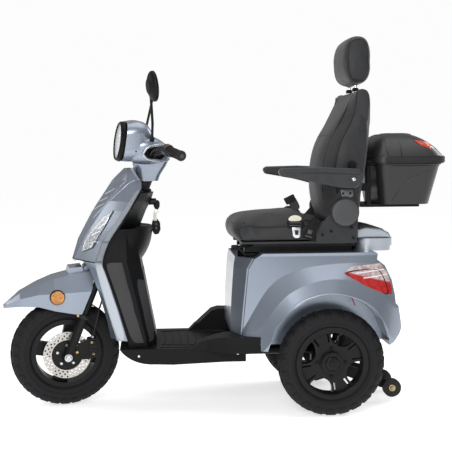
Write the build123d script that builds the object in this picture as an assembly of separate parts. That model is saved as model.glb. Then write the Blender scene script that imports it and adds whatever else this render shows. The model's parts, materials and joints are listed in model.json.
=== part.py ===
"""Electric three-wheel mobility scooter, built as named pieces in millimetres.

The frame is the vehicle's: the nose points along -X, its left side is -Y and +Z is up, with the
origin on the ground under the middle of the vehicle. The steering stands turned to the left.
"""
from build123d import *
import math
import os

os.makedirs("parts", exist_ok=True)


# Wheels and stance
WHEELBASE = 1026.0
FRONT_AXLE_X = -646.0
HALF_TRACK = 270.0
FRONT_TYRE_RADIUS = 216.5
REAR_TYRE_RADIUS = 205.5
TYRE_HALF_WIDTH = 43.0
RIM_SEAT_RADIUS = 127.0
RIM_FLANGE_HEIGHT = 11.0
RIM_HALF_WIDTH = 30.0
RIM_FLANGE_WIDTH = 5.0
RIM_WALL = 8.0
WEB_HALF_WIDTH = 12.0
SPOKES = 4
REAR_SPOKE_TURN = 67.5
FRONT_SPOKE_TURN = 12.0
FRONT_SPOKE_WIDTH = 56.0
FRONT_PLATE_RADIUS = 60.0
FRONT_SPINDLE_RADIUS = 7.5
REAR_SHAFT_RADIUS = 12.5
RUNNING_CLEARANCE = 0.05
SEAT_CLEARANCE = 0.3

# Steering
RAKE = 22.0
FORK_OFFSET = 48.0
STEER_REST = 12.6
STEERER_RADIUS = 17.0
HEAD_TUBE_WALL = 5.0
LEG_HALF_SPACING = 80.0
LEG_RADIUS = 13.5
SLIDER_RADIUS = 17.0
DISC_Y = 56.0
DISC_THICKNESS = 4.0
DISC_RADIUS = 94.0
WELL_RADIUS = 142.0

# Bodywork
SHIELD_WALL = 4.0
FLOOR_HEIGHT = 258.0
FLOOR_HALF_WIDTH = 215.0
FLOOR_WALL = 4.0
STEP_HEIGHT = 312.0
MAT_THICKNESS = 1.5
BODY_TOP = 620.0
BODY_WALL = 5.0

# Seat
RAIL_HALF_SPACING = 150.0
RAIL_HEIGHT = 20.0
BACK_HALF_WIDTH = 215.0
PIVOT_X = 437.0
PIVOT_Z = 775.0
ARM_PIVOT_X = 466.0
ARM_PIVOT_Z = 901.0
PIVOT_RADIUS = 8.0
ARM_PIN_RADIUS = 6.0
PLATE = 6.0
MOVING_GAP = 5.0

# Top box
BOX_WALL = 3.5
BOX_FLOOR_Z = 803.0
BOX_RIM_Z = 962.0
HINGE_X = 556.0
HINGE_Z = 962.0
HINGE_PIN_RADIUS = 3.0
HINGE_KNUCKLE_RADIUS = 6.0
HINGE_Y = 60.0
KNUCKLE_HALF = 9.0

REAR_AXLE_X = FRONT_AXLE_X + WHEELBASE
rake = math.radians(RAKE)
turn = math.radians(STEER_REST)
# the turned wheel leans a little, so its axle height follows from the tyre, rake and turn
lean = math.sin(turn) * math.sin(rake)
tyre_ring = FRONT_TYRE_RADIUS - TYRE_HALF_WIDTH
FRONT_AXLE_Z = (
    tyre_ring * math.sqrt(1 - lean**2)
    + TYRE_HALF_WIDTH
    + FORK_OFFSET * math.sin(rake) * (1 - math.cos(turn))
)
STEER_FOOT = Vector(
    FRONT_AXLE_X + FORK_OFFSET * math.cos(rake), 0, FRONT_AXLE_Z - FORK_OFFSET * math.sin(rake)
)
STEER_DIR = Vector(math.sin(rake), 0, math.cos(rake))
STEER_AXIS = Axis(STEER_FOOT, STEER_DIR)
STEER_PLANE = Plane(origin=STEER_FOOT, x_dir=(math.cos(rake), 0, -math.sin(rake)), z_dir=STEER_DIR)


# ---------------------------------------------------------------- helpers
def save(shape, name):
    """Write one node."""
    export_step(shape, f"parts/{name}.step")


def steered(shape):
    """Turn a straight-ahead piece to the rest angle of the steering."""
    return shape.rotate(STEER_AXIS, STEER_REST)


def column(x, y, h):
    """Point in straight-ahead steering coordinates: h runs up the steering axis."""
    return STEER_PLANE.from_local_coords(Vector(x, y, h))


def prism_y(points, y0, y1, radius=0.0):
    """Side outline of (x, z) points, extruded from y0 to y1."""
    face = Polygon(*points, align=None)
    if radius:
        face = fillet(face.vertices(), radius)
    return extrude(Plane.XZ.offset(-y1) * face, amount=y1 - y0, dir=(0, -1, 0))


def both_sides(shape):
    """The shape and its mirror image in the middle plane."""
    return [shape, mirror(shape, about=Plane.XZ)]


def rod(start, end, radius):
    """Round bar between two points."""
    start = Vector(start)
    end = Vector(end)
    return Solid.make_cylinder(radius, (end - start).length, Plane(origin=start, z_dir=end - start))


def disc_y(x, z, radius, y0, y1):
    """Cylinder along Y."""
    return Solid.make_cylinder(radius, y1 - y0, Plane(origin=(x, y0, z), z_dir=(0, 1, 0)))


def ring_y(profile, centre):
    """Revolve (along, radius) points about the Y axis through the centre."""
    plane = Plane(origin=centre, x_dir=(0, 1, 0), z_dir=(1, 0, 0))
    return revolve(plane * Polygon(*profile, align=None), axis=Axis(centre, (0, 1, 0)))


def ring_column(profile):
    """Revolve (radius, height) points about the steering axis."""
    plane = Plane(origin=STEER_FOOT, x_dir=STEER_PLANE.x_dir, z_dir=(0, -1, 0))
    return revolve(plane * Polygon(*profile, align=None), axis=STEER_AXIS)


def slab(x0, x1, y0, y1, z0, z1):
    """Box between two corners."""
    return Pos((x0 + x1) / 2, (y0 + y1) / 2, (z0 + z1) / 2) * Box(x1 - x0, y1 - y0, z1 - z0)


def plan_loft(levels):
    """Ruled loft through plan outlines given as (z, [(x, y), ...])."""
    faces = [Plane.XY.offset(z) * Polygon(*points, align=None) for z, points in levels]
    return loft(faces, ruled=True)


def pad_loft(sections):
    """Smooth loft through closed side outlines given as (y, [(x, z), ...])."""
    faces = []
    for y, points in sections:
        plane = Plane(origin=(0, y, 0), x_dir=(1, 0, 0), z_dir=(0, -1, 0))
        faces.append(plane * make_face(Spline(*points, periodic=True)))
    return loft(faces)


def mirrored(rows):
    """Sections from the middle outwards, repeated on the other side of the middle plane."""
    return [(-y, points) for y, points in reversed(rows) if y] + list(rows)


def fuse(*shapes):
    """Union of shapes in one operation."""
    return Part() + list(shapes)


def group(solids):
    """Several solids of one node that do not touch."""
    found = []
    for solid in solids:
        found.extend(solid.solids())
    return Compound(found)


# ---------------------------------------------------------------- wheels
def tyre(centre, radius):
    """Tyre as a solid ring seated on the rim."""
    bead = RIM_SEAT_RADIUS + RUNNING_CLEARANCE
    flange = bead + RIM_FLANGE_HEIGHT + 1
    half = [
        (RIM_HALF_WIDTH - 0.5, bead),
        (RIM_HALF_WIDTH - 0.5, flange),
        (TYRE_HALF_WIDTH - 4, flange + 9),
        (TYRE_HALF_WIDTH, radius - 45),
        (TYRE_HALF_WIDTH - 4, radius - 20),
        (TYRE_HALF_WIDTH - 18, radius - 4),
        (8, radius),
    ]
    left = [(-u, v) for u, v in reversed(half)]
    return ring_y(half + left, centre)


def rim(centre, hub_radius, hub_half, bore, web):
    """Cast rim: dropped barrel with flanges, a pierced web and a hub."""
    outer = RIM_SEAT_RADIUS
    flange = outer + RIM_FLANGE_HEIGHT
    inner = outer - RIM_WALL
    edge = RIM_HALF_WIDTH + RIM_FLANGE_WIDTH
    half = [(RIM_HALF_WIDTH, outer), (RIM_HALF_WIDTH, flange), (edge, flange), (edge, inner)]
    barrel = ring_y(half + [(-u, v) for u, v in reversed(half)], centre)
    hub = disc_y(centre[0], centre[2], hub_radius, centre[1] - hub_half, centre[1] + hub_half)
    hole = disc_y(centre[0], centre[2], bore, centre[1] - hub_half - 1, centre[1] + hub_half + 1)
    return barrel + Pos(*centre) * web + hub - hole


def blade_web():
    """Web of the rear rims: four blades, each between two narrow slots, with round-backed openings."""
    reach = RIM_SEAT_RADIUS - RIM_WALL / 2
    web = disc_y(0, 0, reach, -WEB_HALF_WIDTH, WEB_HALF_WIDTH)
    opening_radius = 45.0
    slot_length = 38.0
    slot_turn = 14.7
    opening = disc_y(RIM_SEAT_RADIUS - 15, 0, opening_radius, -WEB_HALF_WIDTH - 1, WEB_HALF_WIDTH + 1)
    opening = opening & disc_y(0, 0, RIM_SEAT_RADIUS - RIM_WALL - 2, -WEB_HALF_WIDTH - 1, WEB_HALF_WIDTH + 1)
    slot = Pos(RIM_SEAT_RADIUS - RIM_WALL - 2 - slot_length / 2, 0, 0) * Box(slot_length, 2 * WEB_HALF_WIDTH + 2, 6)
    for i in range(SPOKES):
        blade = REAR_SPOKE_TURN + i * 360 / SPOKES
        web = web - Rot(0, blade + 180 / SPOKES, 0) * opening
        web = web - Rot(0, blade - slot_turn, 0) * slot - Rot(0, blade + slot_turn, 0) * slot
    return web


def spoke_web():
    """Web of the front rim: four plain cast spokes on a round plate."""
    reach = RIM_SEAT_RADIUS - RIM_WALL / 2
    web = disc_y(0, 0, FRONT_PLATE_RADIUS, -WEB_HALF_WIDTH, WEB_HALF_WIDTH)
    for i in range(SPOKES):
        spoke = Pos(reach / 2, 0, 0) * Box(reach, 2 * WEB_HALF_WIDTH, FRONT_SPOKE_WIDTH)
        web = web + Rot(0, FRONT_SPOKE_TURN + i * 360 / SPOKES, 0) * spoke
    return web


def build_wheels():
    front = (FRONT_AXLE_X, 0, FRONT_AXLE_Z)
    save(steered(tyre(front, FRONT_TYRE_RADIUS)), "front_tyre")
    spindle_hole = FRONT_SPINDLE_RADIUS + RUNNING_CLEARANCE
    save(steered(rim(front, 30, 42, spindle_hole, spoke_web())), "front_rim")
    near = -DISC_Y
    far = DISC_THICKNESS - DISC_Y
    disc = ring_y([(near, 61), (near, DISC_RADIUS), (far, DISC_RADIUS), (far, 61)], front)
    carrier = ring_y([(near + 1, 14), (near + 1, 63), (-42.05, 63), (-42.05, 14)], front)
    save(steered(disc + carrier), "brake_disc")
    for side, name in ((-1, "left"), (1, "right")):
        centre = (REAR_AXLE_X, side * HALF_TRACK, REAR_TYRE_RADIUS)
        save(tyre(centre, REAR_TYRE_RADIUS), f"rear_tyre_{name}")
        shaft_hole = REAR_SHAFT_RADIUS + RUNNING_CLEARANCE
        save(rim(centre, 42, 32, shaft_hole, blade_web()), f"rear_rim_{name}")


# ---------------------------------------------------------------- steering
CROWN_H = 372.0
HEAD_BOTTOM_H = 392.0
HEAD_TOP_H = 690.0
STEM_TOP_H = 884.0
NECK_BOTTOM_H = 730.0
GAITER_RADIUS = 28.0
BELLOWS_TOP_H = 768.0


def build_fork():
    stem = ring_column(
        [(0, CROWN_H), (STEERER_RADIUS, CROWN_H), (STEERER_RADIUS, STEM_TOP_H), (0, STEM_TOP_H)]
    )
    crown = STEER_PLANE * (
        Pos(-FORK_OFFSET / 2, 0, CROWN_H - 14) * Box(FORK_OFFSET + 44, 2 * LEG_HALF_SPACING + 30, 28)
    )
    body = stem + crown
    for y in (-LEG_HALF_SPACING, LEG_HALF_SPACING):
        body = body + rod(column(-FORK_OFFSET, y, -22), column(-FORK_OFFSET, y, CROWN_H), LEG_RADIUS)
        body = body + rod(column(-FORK_OFFSET, y, -22), column(-FORK_OFFSET, y, 170), SLIDER_RADIUS)
    spindle = rod(column(-FORK_OFFSET, -100, 0), column(-FORK_OFFSET, 100, 0), FRONT_SPINDLE_RADIUS)
    save(steered(body + spindle), "front_fork")


FENDER = [
    # x, top z, low z, half width
    (-884, 424, 410, 10),
    (-822, 476, 421, 52),
    (-752, 509, 421, 76),
    (-693, 530, 406, 94),
    (-622, 546, 391, 98),
    (-520, 560, 380, 98),
]


def fender_section(x, top, low, half, inset):
    """Arched cross-section of the fender at x."""
    shoulder = low + 0.55 * (top - low)
    w = half - inset
    t = top - inset
    points = [
        (-w, low),
        (-w, shoulder),
        (-0.55 * w, t - 6),
        (0, t),
        (0.55 * w, t - 6),
        (w, shoulder),
        (w, low),
    ]
    plane = Plane(origin=(x, 0, 0), x_dir=(0, 1, 0), z_dir=(1, 0, 0))
    return plane * Polygon(*points, align=None)


def build_fender():
    outer = loft([fender_section(*row, 0) for row in FENDER], ruled=True)
    inner_rows = [(FENDER[0][0] + 14, 430, 404, 14)] + FENDER[1:-1] + [(-519, 560, 380, 98)]
    inner = loft([fender_section(x, t, low - 6, w, 3.5) for x, t, low, w in inner_rows], ruled=True)
    shell = outer - inner
    shell = shell - prism_y([(-594, 380), (-545, 495), (-518, 600), (-500, 600), (-500, 370)], -120, 120)
    neck = prism_y([(-636, 540), (-630, 562), (-580, 566), (-572, 540)], -40, 40)
    bridge = prism_y([(-572, 548), (-572, 562), (-530, 590), (-520, 575), (-556, 548)], -30, 30)
    crown_space = STEER_PLANE * (
        Pos(-FORK_OFFSET / 2, 0, CROWN_H - 14)
        * Box(FORK_OFFSET + 46, 2 * LEG_HALF_SPACING + 32, 30)
    )
    fender = shell + neck + bridge - crown_space
    for y in (-LEG_HALF_SPACING, LEG_HALF_SPACING):
        fender = fender - rod(column(-FORK_OFFSET, y, -22), column(-FORK_OFFSET, y, CROWN_H), LEG_RADIUS + 1)
        fender = fender - rod(column(-FORK_OFFSET, y, -22), column(-FORK_OFFSET, y, 170), SLIDER_RADIUS + SEAT_CLEARANCE)
    save(steered(fender), "front_fender")
    lamps = both_sides(disc_y(-685, 462, 26, -110, -80) - outer)
    save(steered(group(lamps)), "fender_lamps")


COWL_WALL = 4.0
NECK_BOTTOM_Z = 897.0
NECK_TOP_Z = 1012.0
NECK_HOLE_RADIUS = 26.0
BOWL_ROWS = [
    # x, bottom z, top z, half width
    (-428, 978, 1128, 76),
    (-385, 976, 1131, 86),
    (-338, 984, 1130, 86),
    (-300, 1000, 1086, 66),
]
DASH_ROWS = [
    (-392, 980, 1060, 70),
    (-350, 966, 1072, 90),
    (-300, 966, 1072, 93),
    (-262, 974, 1054, 82),
    (-230, 984, 1026, 56),
]
NECK_ROWS = [
    # z, front x, rear x, half width
    (NECK_BOTTOM_Z, -356, -268, 40),
    (935, -362, -252, 46),
    (975, -364, -232, 54),
    (NECK_TOP_Z, -362, -238, 56),
]
HEADLAMP_PLANE = Plane(origin=(-410, 0, 1051), x_dir=(0, 1, 0), z_dir=(-0.99, 0, 0.14))
HEADLAMP_SIZE = 156.0
BEZEL_DEPTH = 16.0
LENS_SIZE = 138.0
LENS_DOME_RADIUS = 190.0


def cowl_part(rows, inset, roundness):
    """Rounded shell form lofted along the nose direction."""
    faces = []
    for x, low, top, half in rows:
        plane = Plane(origin=(x, 0, (low + top) / 2), x_dir=(0, 1, 0), z_dir=(1, 0, 0))
        radius = min(half, (top - low) / 2) * roundness - inset
        faces.append(plane * RectangleRounded(2 * (half - inset), top - low - 2 * inset, radius))
    return loft(faces)


def neck_volume(rows, inset):
    """Tapered neck of the cowl round the steering stem."""
    faces = []
    for z, front, rear, half in rows:
        outline = RectangleRounded(rear - front - 2 * inset, 2 * (half - inset), 26 - inset)
        faces.append(Plane.XY.offset(z) * (Pos((front + rear) / 2, 0) * outline))
    return loft(faces)


def cowl_volume(inset):
    """Headlamp bowl, dash and neck together."""
    rows = DASH_ROWS
    if inset:
        rows = rows[:-1] + [(rows[-1][0] - inset, *rows[-1][1:])]
    low = (NECK_ROWS[0][0] + inset,) + NECK_ROWS[0][1:]
    return fuse(
        cowl_part(BOWL_ROWS, inset, 0.62),
        cowl_part(rows, inset, 0.7),
        neck_volume([low] + NECK_ROWS[1:], inset),
    )


def build_headset():
    front = HEADLAMP_PLANE * (Pos(0, 0, 49.7) * Box(400, 400, 100))
    window = prism_y([(-345, 1022), (-325, 1034), (-262, 1036), (-250, 1000), (-272, 986), (-338, 990)], -130, 130, 5)
    passage = ring_column(
        [
            (0, NECK_BOTTOM_H),
            (NECK_HOLE_RADIUS, NECK_BOTTOM_H),
            (NECK_HOLE_RADIUS, STEM_TOP_H + 6),
            (0, STEM_TOP_H + 6),
        ]
    )
    passage = passage + rod(column(0, 0, NECK_BOTTOM_H), column(0, 0, BELLOWS_TOP_H + MOVING_GAP), GAITER_RADIUS + MOVING_GAP)
    left = bar_points(-1)
    right = bar_points(1)
    bar_space = bent_rod([left[2], left[1], right[1], right[2]], BAR_BEND, BAR_RADIUS + SEAT_CLEARANCE)
    clamp_space = STEER_PLANE * (Pos(-10, 0, STEM_TOP_H - BAR_DROP) * Box(65, 45, CLAMP_HEIGHT + 1))
    shell = cowl_volume(0) - cowl_volume(COWL_WALL) - front - window - passage
    shell = shell - bar_space - clamp_space
    save(steered(shell), "headset_cowl")
    # headlamp
    bezel = HEADLAMP_PLANE * extrude(RectangleRounded(HEADLAMP_SIZE, HEADLAMP_SIZE, 62), amount=BEZEL_DEPTH)
    seat = extrude(RectangleRounded(LENS_SIZE, LENS_SIZE, 54), amount=BEZEL_DEPTH + 10)
    bezel = chamfer(bezel.faces().sort_by(Axis.X)[0].edges(), 5)
    bezel = bezel - HEADLAMP_PLANE * (Pos(0, 0, 4) * seat)
    save(steered(bezel), "headlamp_bezel")
    glass = extrude(RectangleRounded(LENS_SIZE - 0.6, LENS_SIZE - 0.6, 53.7), amount=BEZEL_DEPTH + 8)
    dome = Pos(0, 0, BEZEL_DEPTH + 5 - LENS_DOME_RADIUS) * Sphere(LENS_DOME_RADIUS)
    lens = HEADLAMP_PLANE * ((Pos(0, 0, 4.2) * glass) & dome)
    save(steered(lens), "headlamp_lens")


BAR_RADIUS = 11.0
GRIP_END_Y = 335.0
BAR_BEND = 60.0


CLAMP_HEIGHT = 36.0
BRACKET_DROP = 12.0
BRACKET_THICKNESS = 4.0
BAR_DROP = 22.5
BAR_CENTRE = column(-27.2, 0, STEM_TOP_H - BAR_DROP)


def bar_points(side):
    """Handlebar route: straight through the clamp, then swept back to the grip."""
    return [
        BAR_CENTRE,
        BAR_CENTRE + Vector(2, side * 100, 2),
        BAR_CENTRE + Vector(20, side * 205, 28),
        BAR_CENTRE + Vector(54, side * GRIP_END_Y, 12),
    ]


def bent_rod(points, bend, radius):
    """Round bar bent along points."""
    path = FilletPolyline(*points, radius=bend)
    return sweep(Plane(origin=path @ 0, z_dir=path % 0) * Circle(radius), path=path)


def build_bar():
    pieces = []
    grips = []
    ends = []
    for side in (-1, 1):
        p = bar_points(side)
        direction = (p[3] - p[2]).normalized()
        start = p[2] + direction * 40
        end = p[3] - direction * 3
        ends.append(end)
        sleeve = rod(start, p[3], BAR_RADIUS + 6) - rod(p[2], end, BAR_RADIUS + RUNNING_CLEARANCE)
        grips.append(sleeve)
        # switch pod and brake lever
        pod_middle = p[2] + direction * 24
        pieces.append(rod(p[2] + direction * 8, p[2] + direction * 39.7, BAR_RADIUS + 9))
        lever_root = pod_middle + Vector(-30, 0, 8)
        lever_tip = lever_root + direction * 118 + Vector(-12, 0, -4)
        pieces.append(rod(pod_middle, lever_root + Vector(-4, 0, 1), 7.5))
        pieces.append(rod(lever_root, lever_tip, 5))
        pieces.append(Pos(*lever_tip) * Sphere(7))
    left = bar_points(-1)
    right = bar_points(1)
    route = [ends[0], left[2], left[1], right[1], right[2], ends[1]]
    bar = bent_rod(route, BAR_BEND, BAR_RADIUS)
    clamp = STEER_PLANE * (Pos(-10, 0, STEM_TOP_H - BAR_DROP) * Box(64, 44, CLAMP_HEIGHT))
    stem_hole = ring_column(
        [(0, 700), (STEERER_RADIUS + 0.2, 700), (STEERER_RADIUS + 0.2, STEM_TOP_H + 1), (0, STEM_TOP_H + 1)]
    )
    bracket = STEER_PLANE * (Pos(-10, 0, STEM_TOP_H - BAR_DROP - BRACKET_DROP) * Box(26, 240, BRACKET_THICKNESS))
    bracket = bracket & cowl_volume(COWL_WALL + SEAT_CLEARANCE)
    save(steered(fuse(bar, clamp, bracket, *pieces) - stem_hole), "handlebar")
    save(steered(group(grips)), "handlebar_grips")


MIRROR_HALF_WIDTH = 46.0
MIRROR_HALF_HEIGHT = 56.0
MIRROR_DEPTH = 26.0
MIRRORS = [
    # foot, elbow and top of the stem, centre of the glass; the two are set differently
    ((-308, -84, 1062), (-330, -200, 1130), (-350, -266, 1236), (-340, -280, 1271)),
    ((-306, 86, 1064), (-278, 160, 1112), (-232, 262, 1216), (-222, 280, 1262)),
]


def build_mirrors():
    solids = []
    for foot, elbow, top, centre in MIRRORS:
        side = math.copysign(1, foot[1])
        foot = Vector(foot)
        stem = bent_rod([foot, Vector(elbow), Vector(top)], 30, 5)
        nut = rod(foot - Vector(0, side * 6, 6), foot + Vector(0, side * 8, 8), 9)
        glass = Plane(origin=centre, x_dir=(-side * 0.12, -1, 0), z_dir=(1, -side * 0.12, 0.1))
        half = (MIRROR_HALF_WIDTH, MIRROR_HALF_HEIGHT)
        rows = [(0, 0.97), (-5, 1.0), (-0.55 * MIRROR_DEPTH, 0.86), (-MIRROR_DEPTH, 0.45)]
        leaf = loft([glass.offset(h) * Ellipse(half[0] * k, half[1] * k) for h, k in rows])
        solids.append(fuse(stem, nut, leaf) - cowl_volume(0))
    save(steered(group(solids)), "mirrors")


def build_brake():
    body = prism_y([(-566, 282), (-528, 282), (-526, 205), (-562, 200), (-575, 240)], -76, -41, 8)
    slot = disc_y(FRONT_AXLE_X, FRONT_AXLE_Z, 98, -DISC_Y - 2, DISC_THICKNESS - DISC_Y + 2)
    bracket = prism_y([(-640, 245), (-560, 282), (-560, 200), (-640, 200)], -76, -68, 3)
    leg = rod(column(-FORK_OFFSET, -LEG_HALF_SPACING, -22), column(-FORK_OFFSET, -LEG_HALF_SPACING, 200), SLIDER_RADIUS + 0.1)
    spindle = rod(column(-FORK_OFFSET, -100, 0), column(-FORK_OFFSET, 0, 0), FRONT_SPINDLE_RADIUS + 0.2)
    calliper = body - slot + bracket - leg - spindle
    save(steered(calliper), "brake_calliper")
    route = [
        Vector(-546, -58, 283.0),
        Vector(-532, -66, 340),
        Vector(-520, -74, 400),
        Vector(-496, -70, 470),
    ]
    save(steered(bent_rod(route, 60, 3.5)), "brake_hose")


# ---------------------------------------------------------------- front bodywork
SHIELD = [
    # z, nose x, crease x, crease y, bevel x, bevel y, edge x, edge y
    (589, -613, -600, 30, -513, 182, -488, 202),
    (669, -588, -562, 52, -485, 182, -460, 202),
    (724, -559, -527, 66, -446, 182, -423, 200),
    (783, -527, -489, 74, -405, 178, -384, 195),
    (819, -503, -465, 78, -381, 172, -362, 188),
    (868, -470, -425, 82, -349, 140, -333, 155),
    (899, -450, -392, 82, -346, 108, -333, 120),
    (946, -402, -388, 50, -376, 60, -371, 66),
]
SHIELD_LOWER = [
    (286, -500, -490, 30, -433, 175, -393, 190),
    (399, -535, -524, 30, -466, 182, -424, 200),
    (503, -575, -564, 30, -494, 182, -456, 202),
    (560, -594, -583, 30, -508, 182, -475, 202),
    (589, -613, -600, 30, -513, 182, -488, 202),
]


def shield_outline(row, wall, back):
    """Plan outline of the shield: nose, crease, bevel and edge on both sides."""
    z, nose, cx, cy, bx, by, ex, ey = row
    right = [(nose + 1.3 * wall, 0), (cx + 1.2 * wall, cy - wall * 0.4), (bx + wall * 0.9, by - wall), (ex + back, ey - wall)]
    left = [(x, -y) for x, y in reversed(right[1:])]
    return right + left


def shield_solid(rows, wall, back):
    return plan_loft([(row[0], shield_outline(row, wall, back)) for row in rows])


def well():
    """Space swept by the front wheel and fender under the shield."""
    return ring_column([(0, -40), (WELL_RADIUS, -40), (WELL_RADIUS, CROWN_H + 28), (0, CROWN_H + 28)])


COLLAR_RADIUS = 56.0
NECK_SWEEP_RADIUS = 71.0


def build_shield():
    outer = shield_solid(SHIELD, 0, 0) + shield_solid(SHIELD_LOWER, 0, 0)
    inner = shield_solid(SHIELD[:-1], SHIELD_WALL, 30) + shield_solid(SHIELD_LOWER, SHIELD_WALL, 30)
    low_row = (SHIELD_LOWER[0][0] - 5,) + SHIELD_LOWER[0][1:]
    inner = inner + shield_solid([low_row, SHIELD_LOWER[0]], SHIELD_WALL, 30)
    shell = outer - inner
    shell = shell - prism_y([(-371, 950), (-333, 893), (-250, 893), (-250, 980), (-371, 980)], -220, 220)
    collar = ring_column(
        [(0, 660), (COLLAR_RADIUS, 660), (COLLAR_RADIUS, 730), (NECK_SWEEP_RADIUS, 730), (NECK_SWEEP_RADIUS, 860), (0, 860)]
    )
    shell = shell - collar - well() - prism_y([(-700, 200), (-560, 200), (-560, 500), (-620, 575), (-700, 575)], -150, 150)
    save(shell, "leg_shield")
    lamps = []
    blade = prism_y([(-443, 786), (-526, 643), (-572, 621), (-556, 671), (-493, 748)], -230, 0)
    skin = (shield_solid(SHIELD, -4, 0)) - shield_solid(SHIELD, -0.3, 0)
    lens = (skin & blade) - slab(-700, -300, -40, 40, 500, 1000)
    for solid in both_sides(lens):
        lamps.append(solid)
    save(group(lamps), "front_marker_lamps")
    return shell


KNEE = [
    # z, rear x, rear half width
    (FLOOR_HEIGHT + SEAT_CLEARANCE, -281, 150),
    (286, -283, 152),
    (399, -306, 158),
    (503, -325, 162),
    (560, -335, 164),
    (589, -340, 165),
    (640, -352, 160),
    (700, -366, 150),
]
POCKET_TOP = 716.0
POCKET_WALL = 5.0
POCKET_HALF_GAP = 60.0
POCKET = [
    # z, rear x, half width at the side of the bowl
    (572, -352, 120),
    (588, -335, 150),
    (625, -312, 166),
    (670, -297, 172),
    (POCKET_TOP, -291, 172),
]
COLUMN_COVER = [
    (POCKET_TOP - 2, -344, 60),
    (783, -316, 62),
    (819, -297, 62),
    (850, -287, 60),
]


def shield_edge(z):
    """Rear edge of the shield at a height: x and half width."""
    rows = SHIELD_LOWER[:-1] + SHIELD
    for low, high in zip(rows[:-1], rows[1:]):
        if z <= high[0]:
            break
    share = (z - low[0]) / (high[0] - low[0])
    return low[6] + share * (high[6] - low[6]), low[7] + share * (high[7] - low[7])


def knee_loft(rows):
    """Panel behind the shield, from the shield's edge back to the rear line."""
    levels = []
    for z, rear, half_rear in rows:
        edge, half = shield_edge(z)
        front = edge + SEAT_CLEARANCE
        half = half - SHIELD_WALL
        middle = rear - (rear - front) * 0.35
        side = min(half - 8, half_rear + 34)
        right = [(front, half), (middle, side), (rear, half_rear - 30)]
        levels.append((z, right + [(x, -y) for x, y in reversed(right)]))
    return plan_loft(levels)


def bowl_loft(rows, inset):
    """Rounded bowl behind the shield, from its edge back to the rows' rear line."""
    faces = []
    for z, rear, half_side in rows:
        edge, half = shield_edge(z)
        front = edge + SEAT_CLEARANCE + inset
        half = min(half - SHIELD_WALL, half_side + 20) - inset
        back = rear - inset
        start = (front, -half)
        end = (front, half)
        flank = (back - 42, 0.8 * (half_side - inset))
        curve = Spline(start, (flank[0], -flank[1]), (back, 0), flank, end)
        faces.append(Plane.XY.offset(z) * make_face(Curve() + [curve, Line(end, start)]))
    return loft(faces)


def build_knee_panel(shield):
    panel = knee_loft(KNEE) + bowl_loft(POCKET, 0)
    inner_rows = [(z + POCKET_WALL, rear, half) for z, rear, half in POCKET[1:]]
    bowl = bowl_loft(inner_rows, POCKET_WALL)
    gap = slab(-600, -200, -POCKET_HALF_GAP, POCKET_HALF_GAP, 560, 760)
    panel = panel - (bowl - gap) + knee_loft(COLUMN_COVER)
    channel = prism_y(
        [(-500, 250), (-292, 250), (-325, 430), (-350, 590), (-352, 735), (-325, 800), (-304, 860), (-500, 860)],
        -52,
        52,
    )
    panel = panel - channel
    collar = ring_column(
        [
            (0, HEAD_TOP_H - 15),
            (BELLOWS_RADIUS + 4, HEAD_TOP_H - 15),
            (BELLOWS_RADIUS + 4, 735),
            (NECK_SWEEP_RADIUS, 735),
            (NECK_SWEEP_RADIUS, 860),
            (0, 860),
        ]
    )
    panel = panel - well() - collar - shield
    save(panel, "knee_panel")


BELLOWS_RADIUS = 38.0
BELLOWS_RIBS = 3
RIB_PITCH = 14.0


def build_bellows():
    bore = STEERER_RADIUS + 1
    profile = [(bore, HEAD_TOP_H + SEAT_CLEARANCE)]
    for i in range(BELLOWS_RIBS):
        h = HEAD_TOP_H + 2 + i * RIB_PITCH
        profile.append((BELLOWS_RADIUS, h))
        profile.append((BELLOWS_RADIUS, h + 0.5 * RIB_PITCH))
        profile.append((GAITER_RADIUS, h + 0.75 * RIB_PITCH))
    profile.append((GAITER_RADIUS, BELLOWS_TOP_H))
    profile.append((bore, BELLOWS_TOP_H))
    save(ring_column(profile), "steering_bellows")


KEY_Y = -14.0
KEY_Z = 812.0


def build_keys():
    lock = rod((-312, KEY_Y, KEY_Z), (-276, KEY_Y, KEY_Z), 11) - knee_loft(COLUMN_COVER)
    key = rod((-278, KEY_Y, KEY_Z), (-262, KEY_Y, KEY_Z), 3)
    bow = disc_y(-256, KEY_Z - 4, 13, KEY_Y - 2, KEY_Y + 2)
    tag = prism_y([(-276, 800), (-260, 800), (-264, 745), (-278, 745)], KEY_Y - 3, KEY_Y + 1, 3)
    fob = prism_y([(-284, 752), (-266, 752), (-260, 690), (-286, 690)], KEY_Y - 5, KEY_Y + 5, 6)
    save(fuse(lock, key, bow, tag, fob), "ignition_keys")


DOWN_TUBE_RADIUS = 19.0
DOWN_TUBE_TOP = column(STEERER_RADIUS + 6, 0, HEAD_BOTTOM_H + 110)
DOWN_TUBE_FOOT = Vector(-315, 0, 228)


FLOOR_NOSE_X = -422.0
SKIRT_CURVE = [(-398, 232), (-350, 207), (-290, 199)]


def floor_profile(inset, low):
    """Side profile of the floor: flat top, nose curved down like a hull, heel under the seat."""
    nose = (FLOOR_NOSE_X + 2 * inset, FLOOR_HEIGHT - inset)
    curve = Spline(nose, *[(x + inset, z + inset / 2) for x, z in SKIRT_CURVE])
    heel = [SKIRT_CURVE[-1], (-220, 196), (-22, 203), (60, 203)]
    if low:
        heel = [SKIRT_CURVE[-1], (SKIRT_CURVE[-1][0], low), (70, low)]
    heel[0] = ((curve @ 1).X, (curve @ 1).Y)
    top = (heel[-1][0], FLOOR_HEIGHT - inset)
    return Plane.XZ * make_face(Curve() + [curve, Polyline(*heel, top, nose)])


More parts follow.
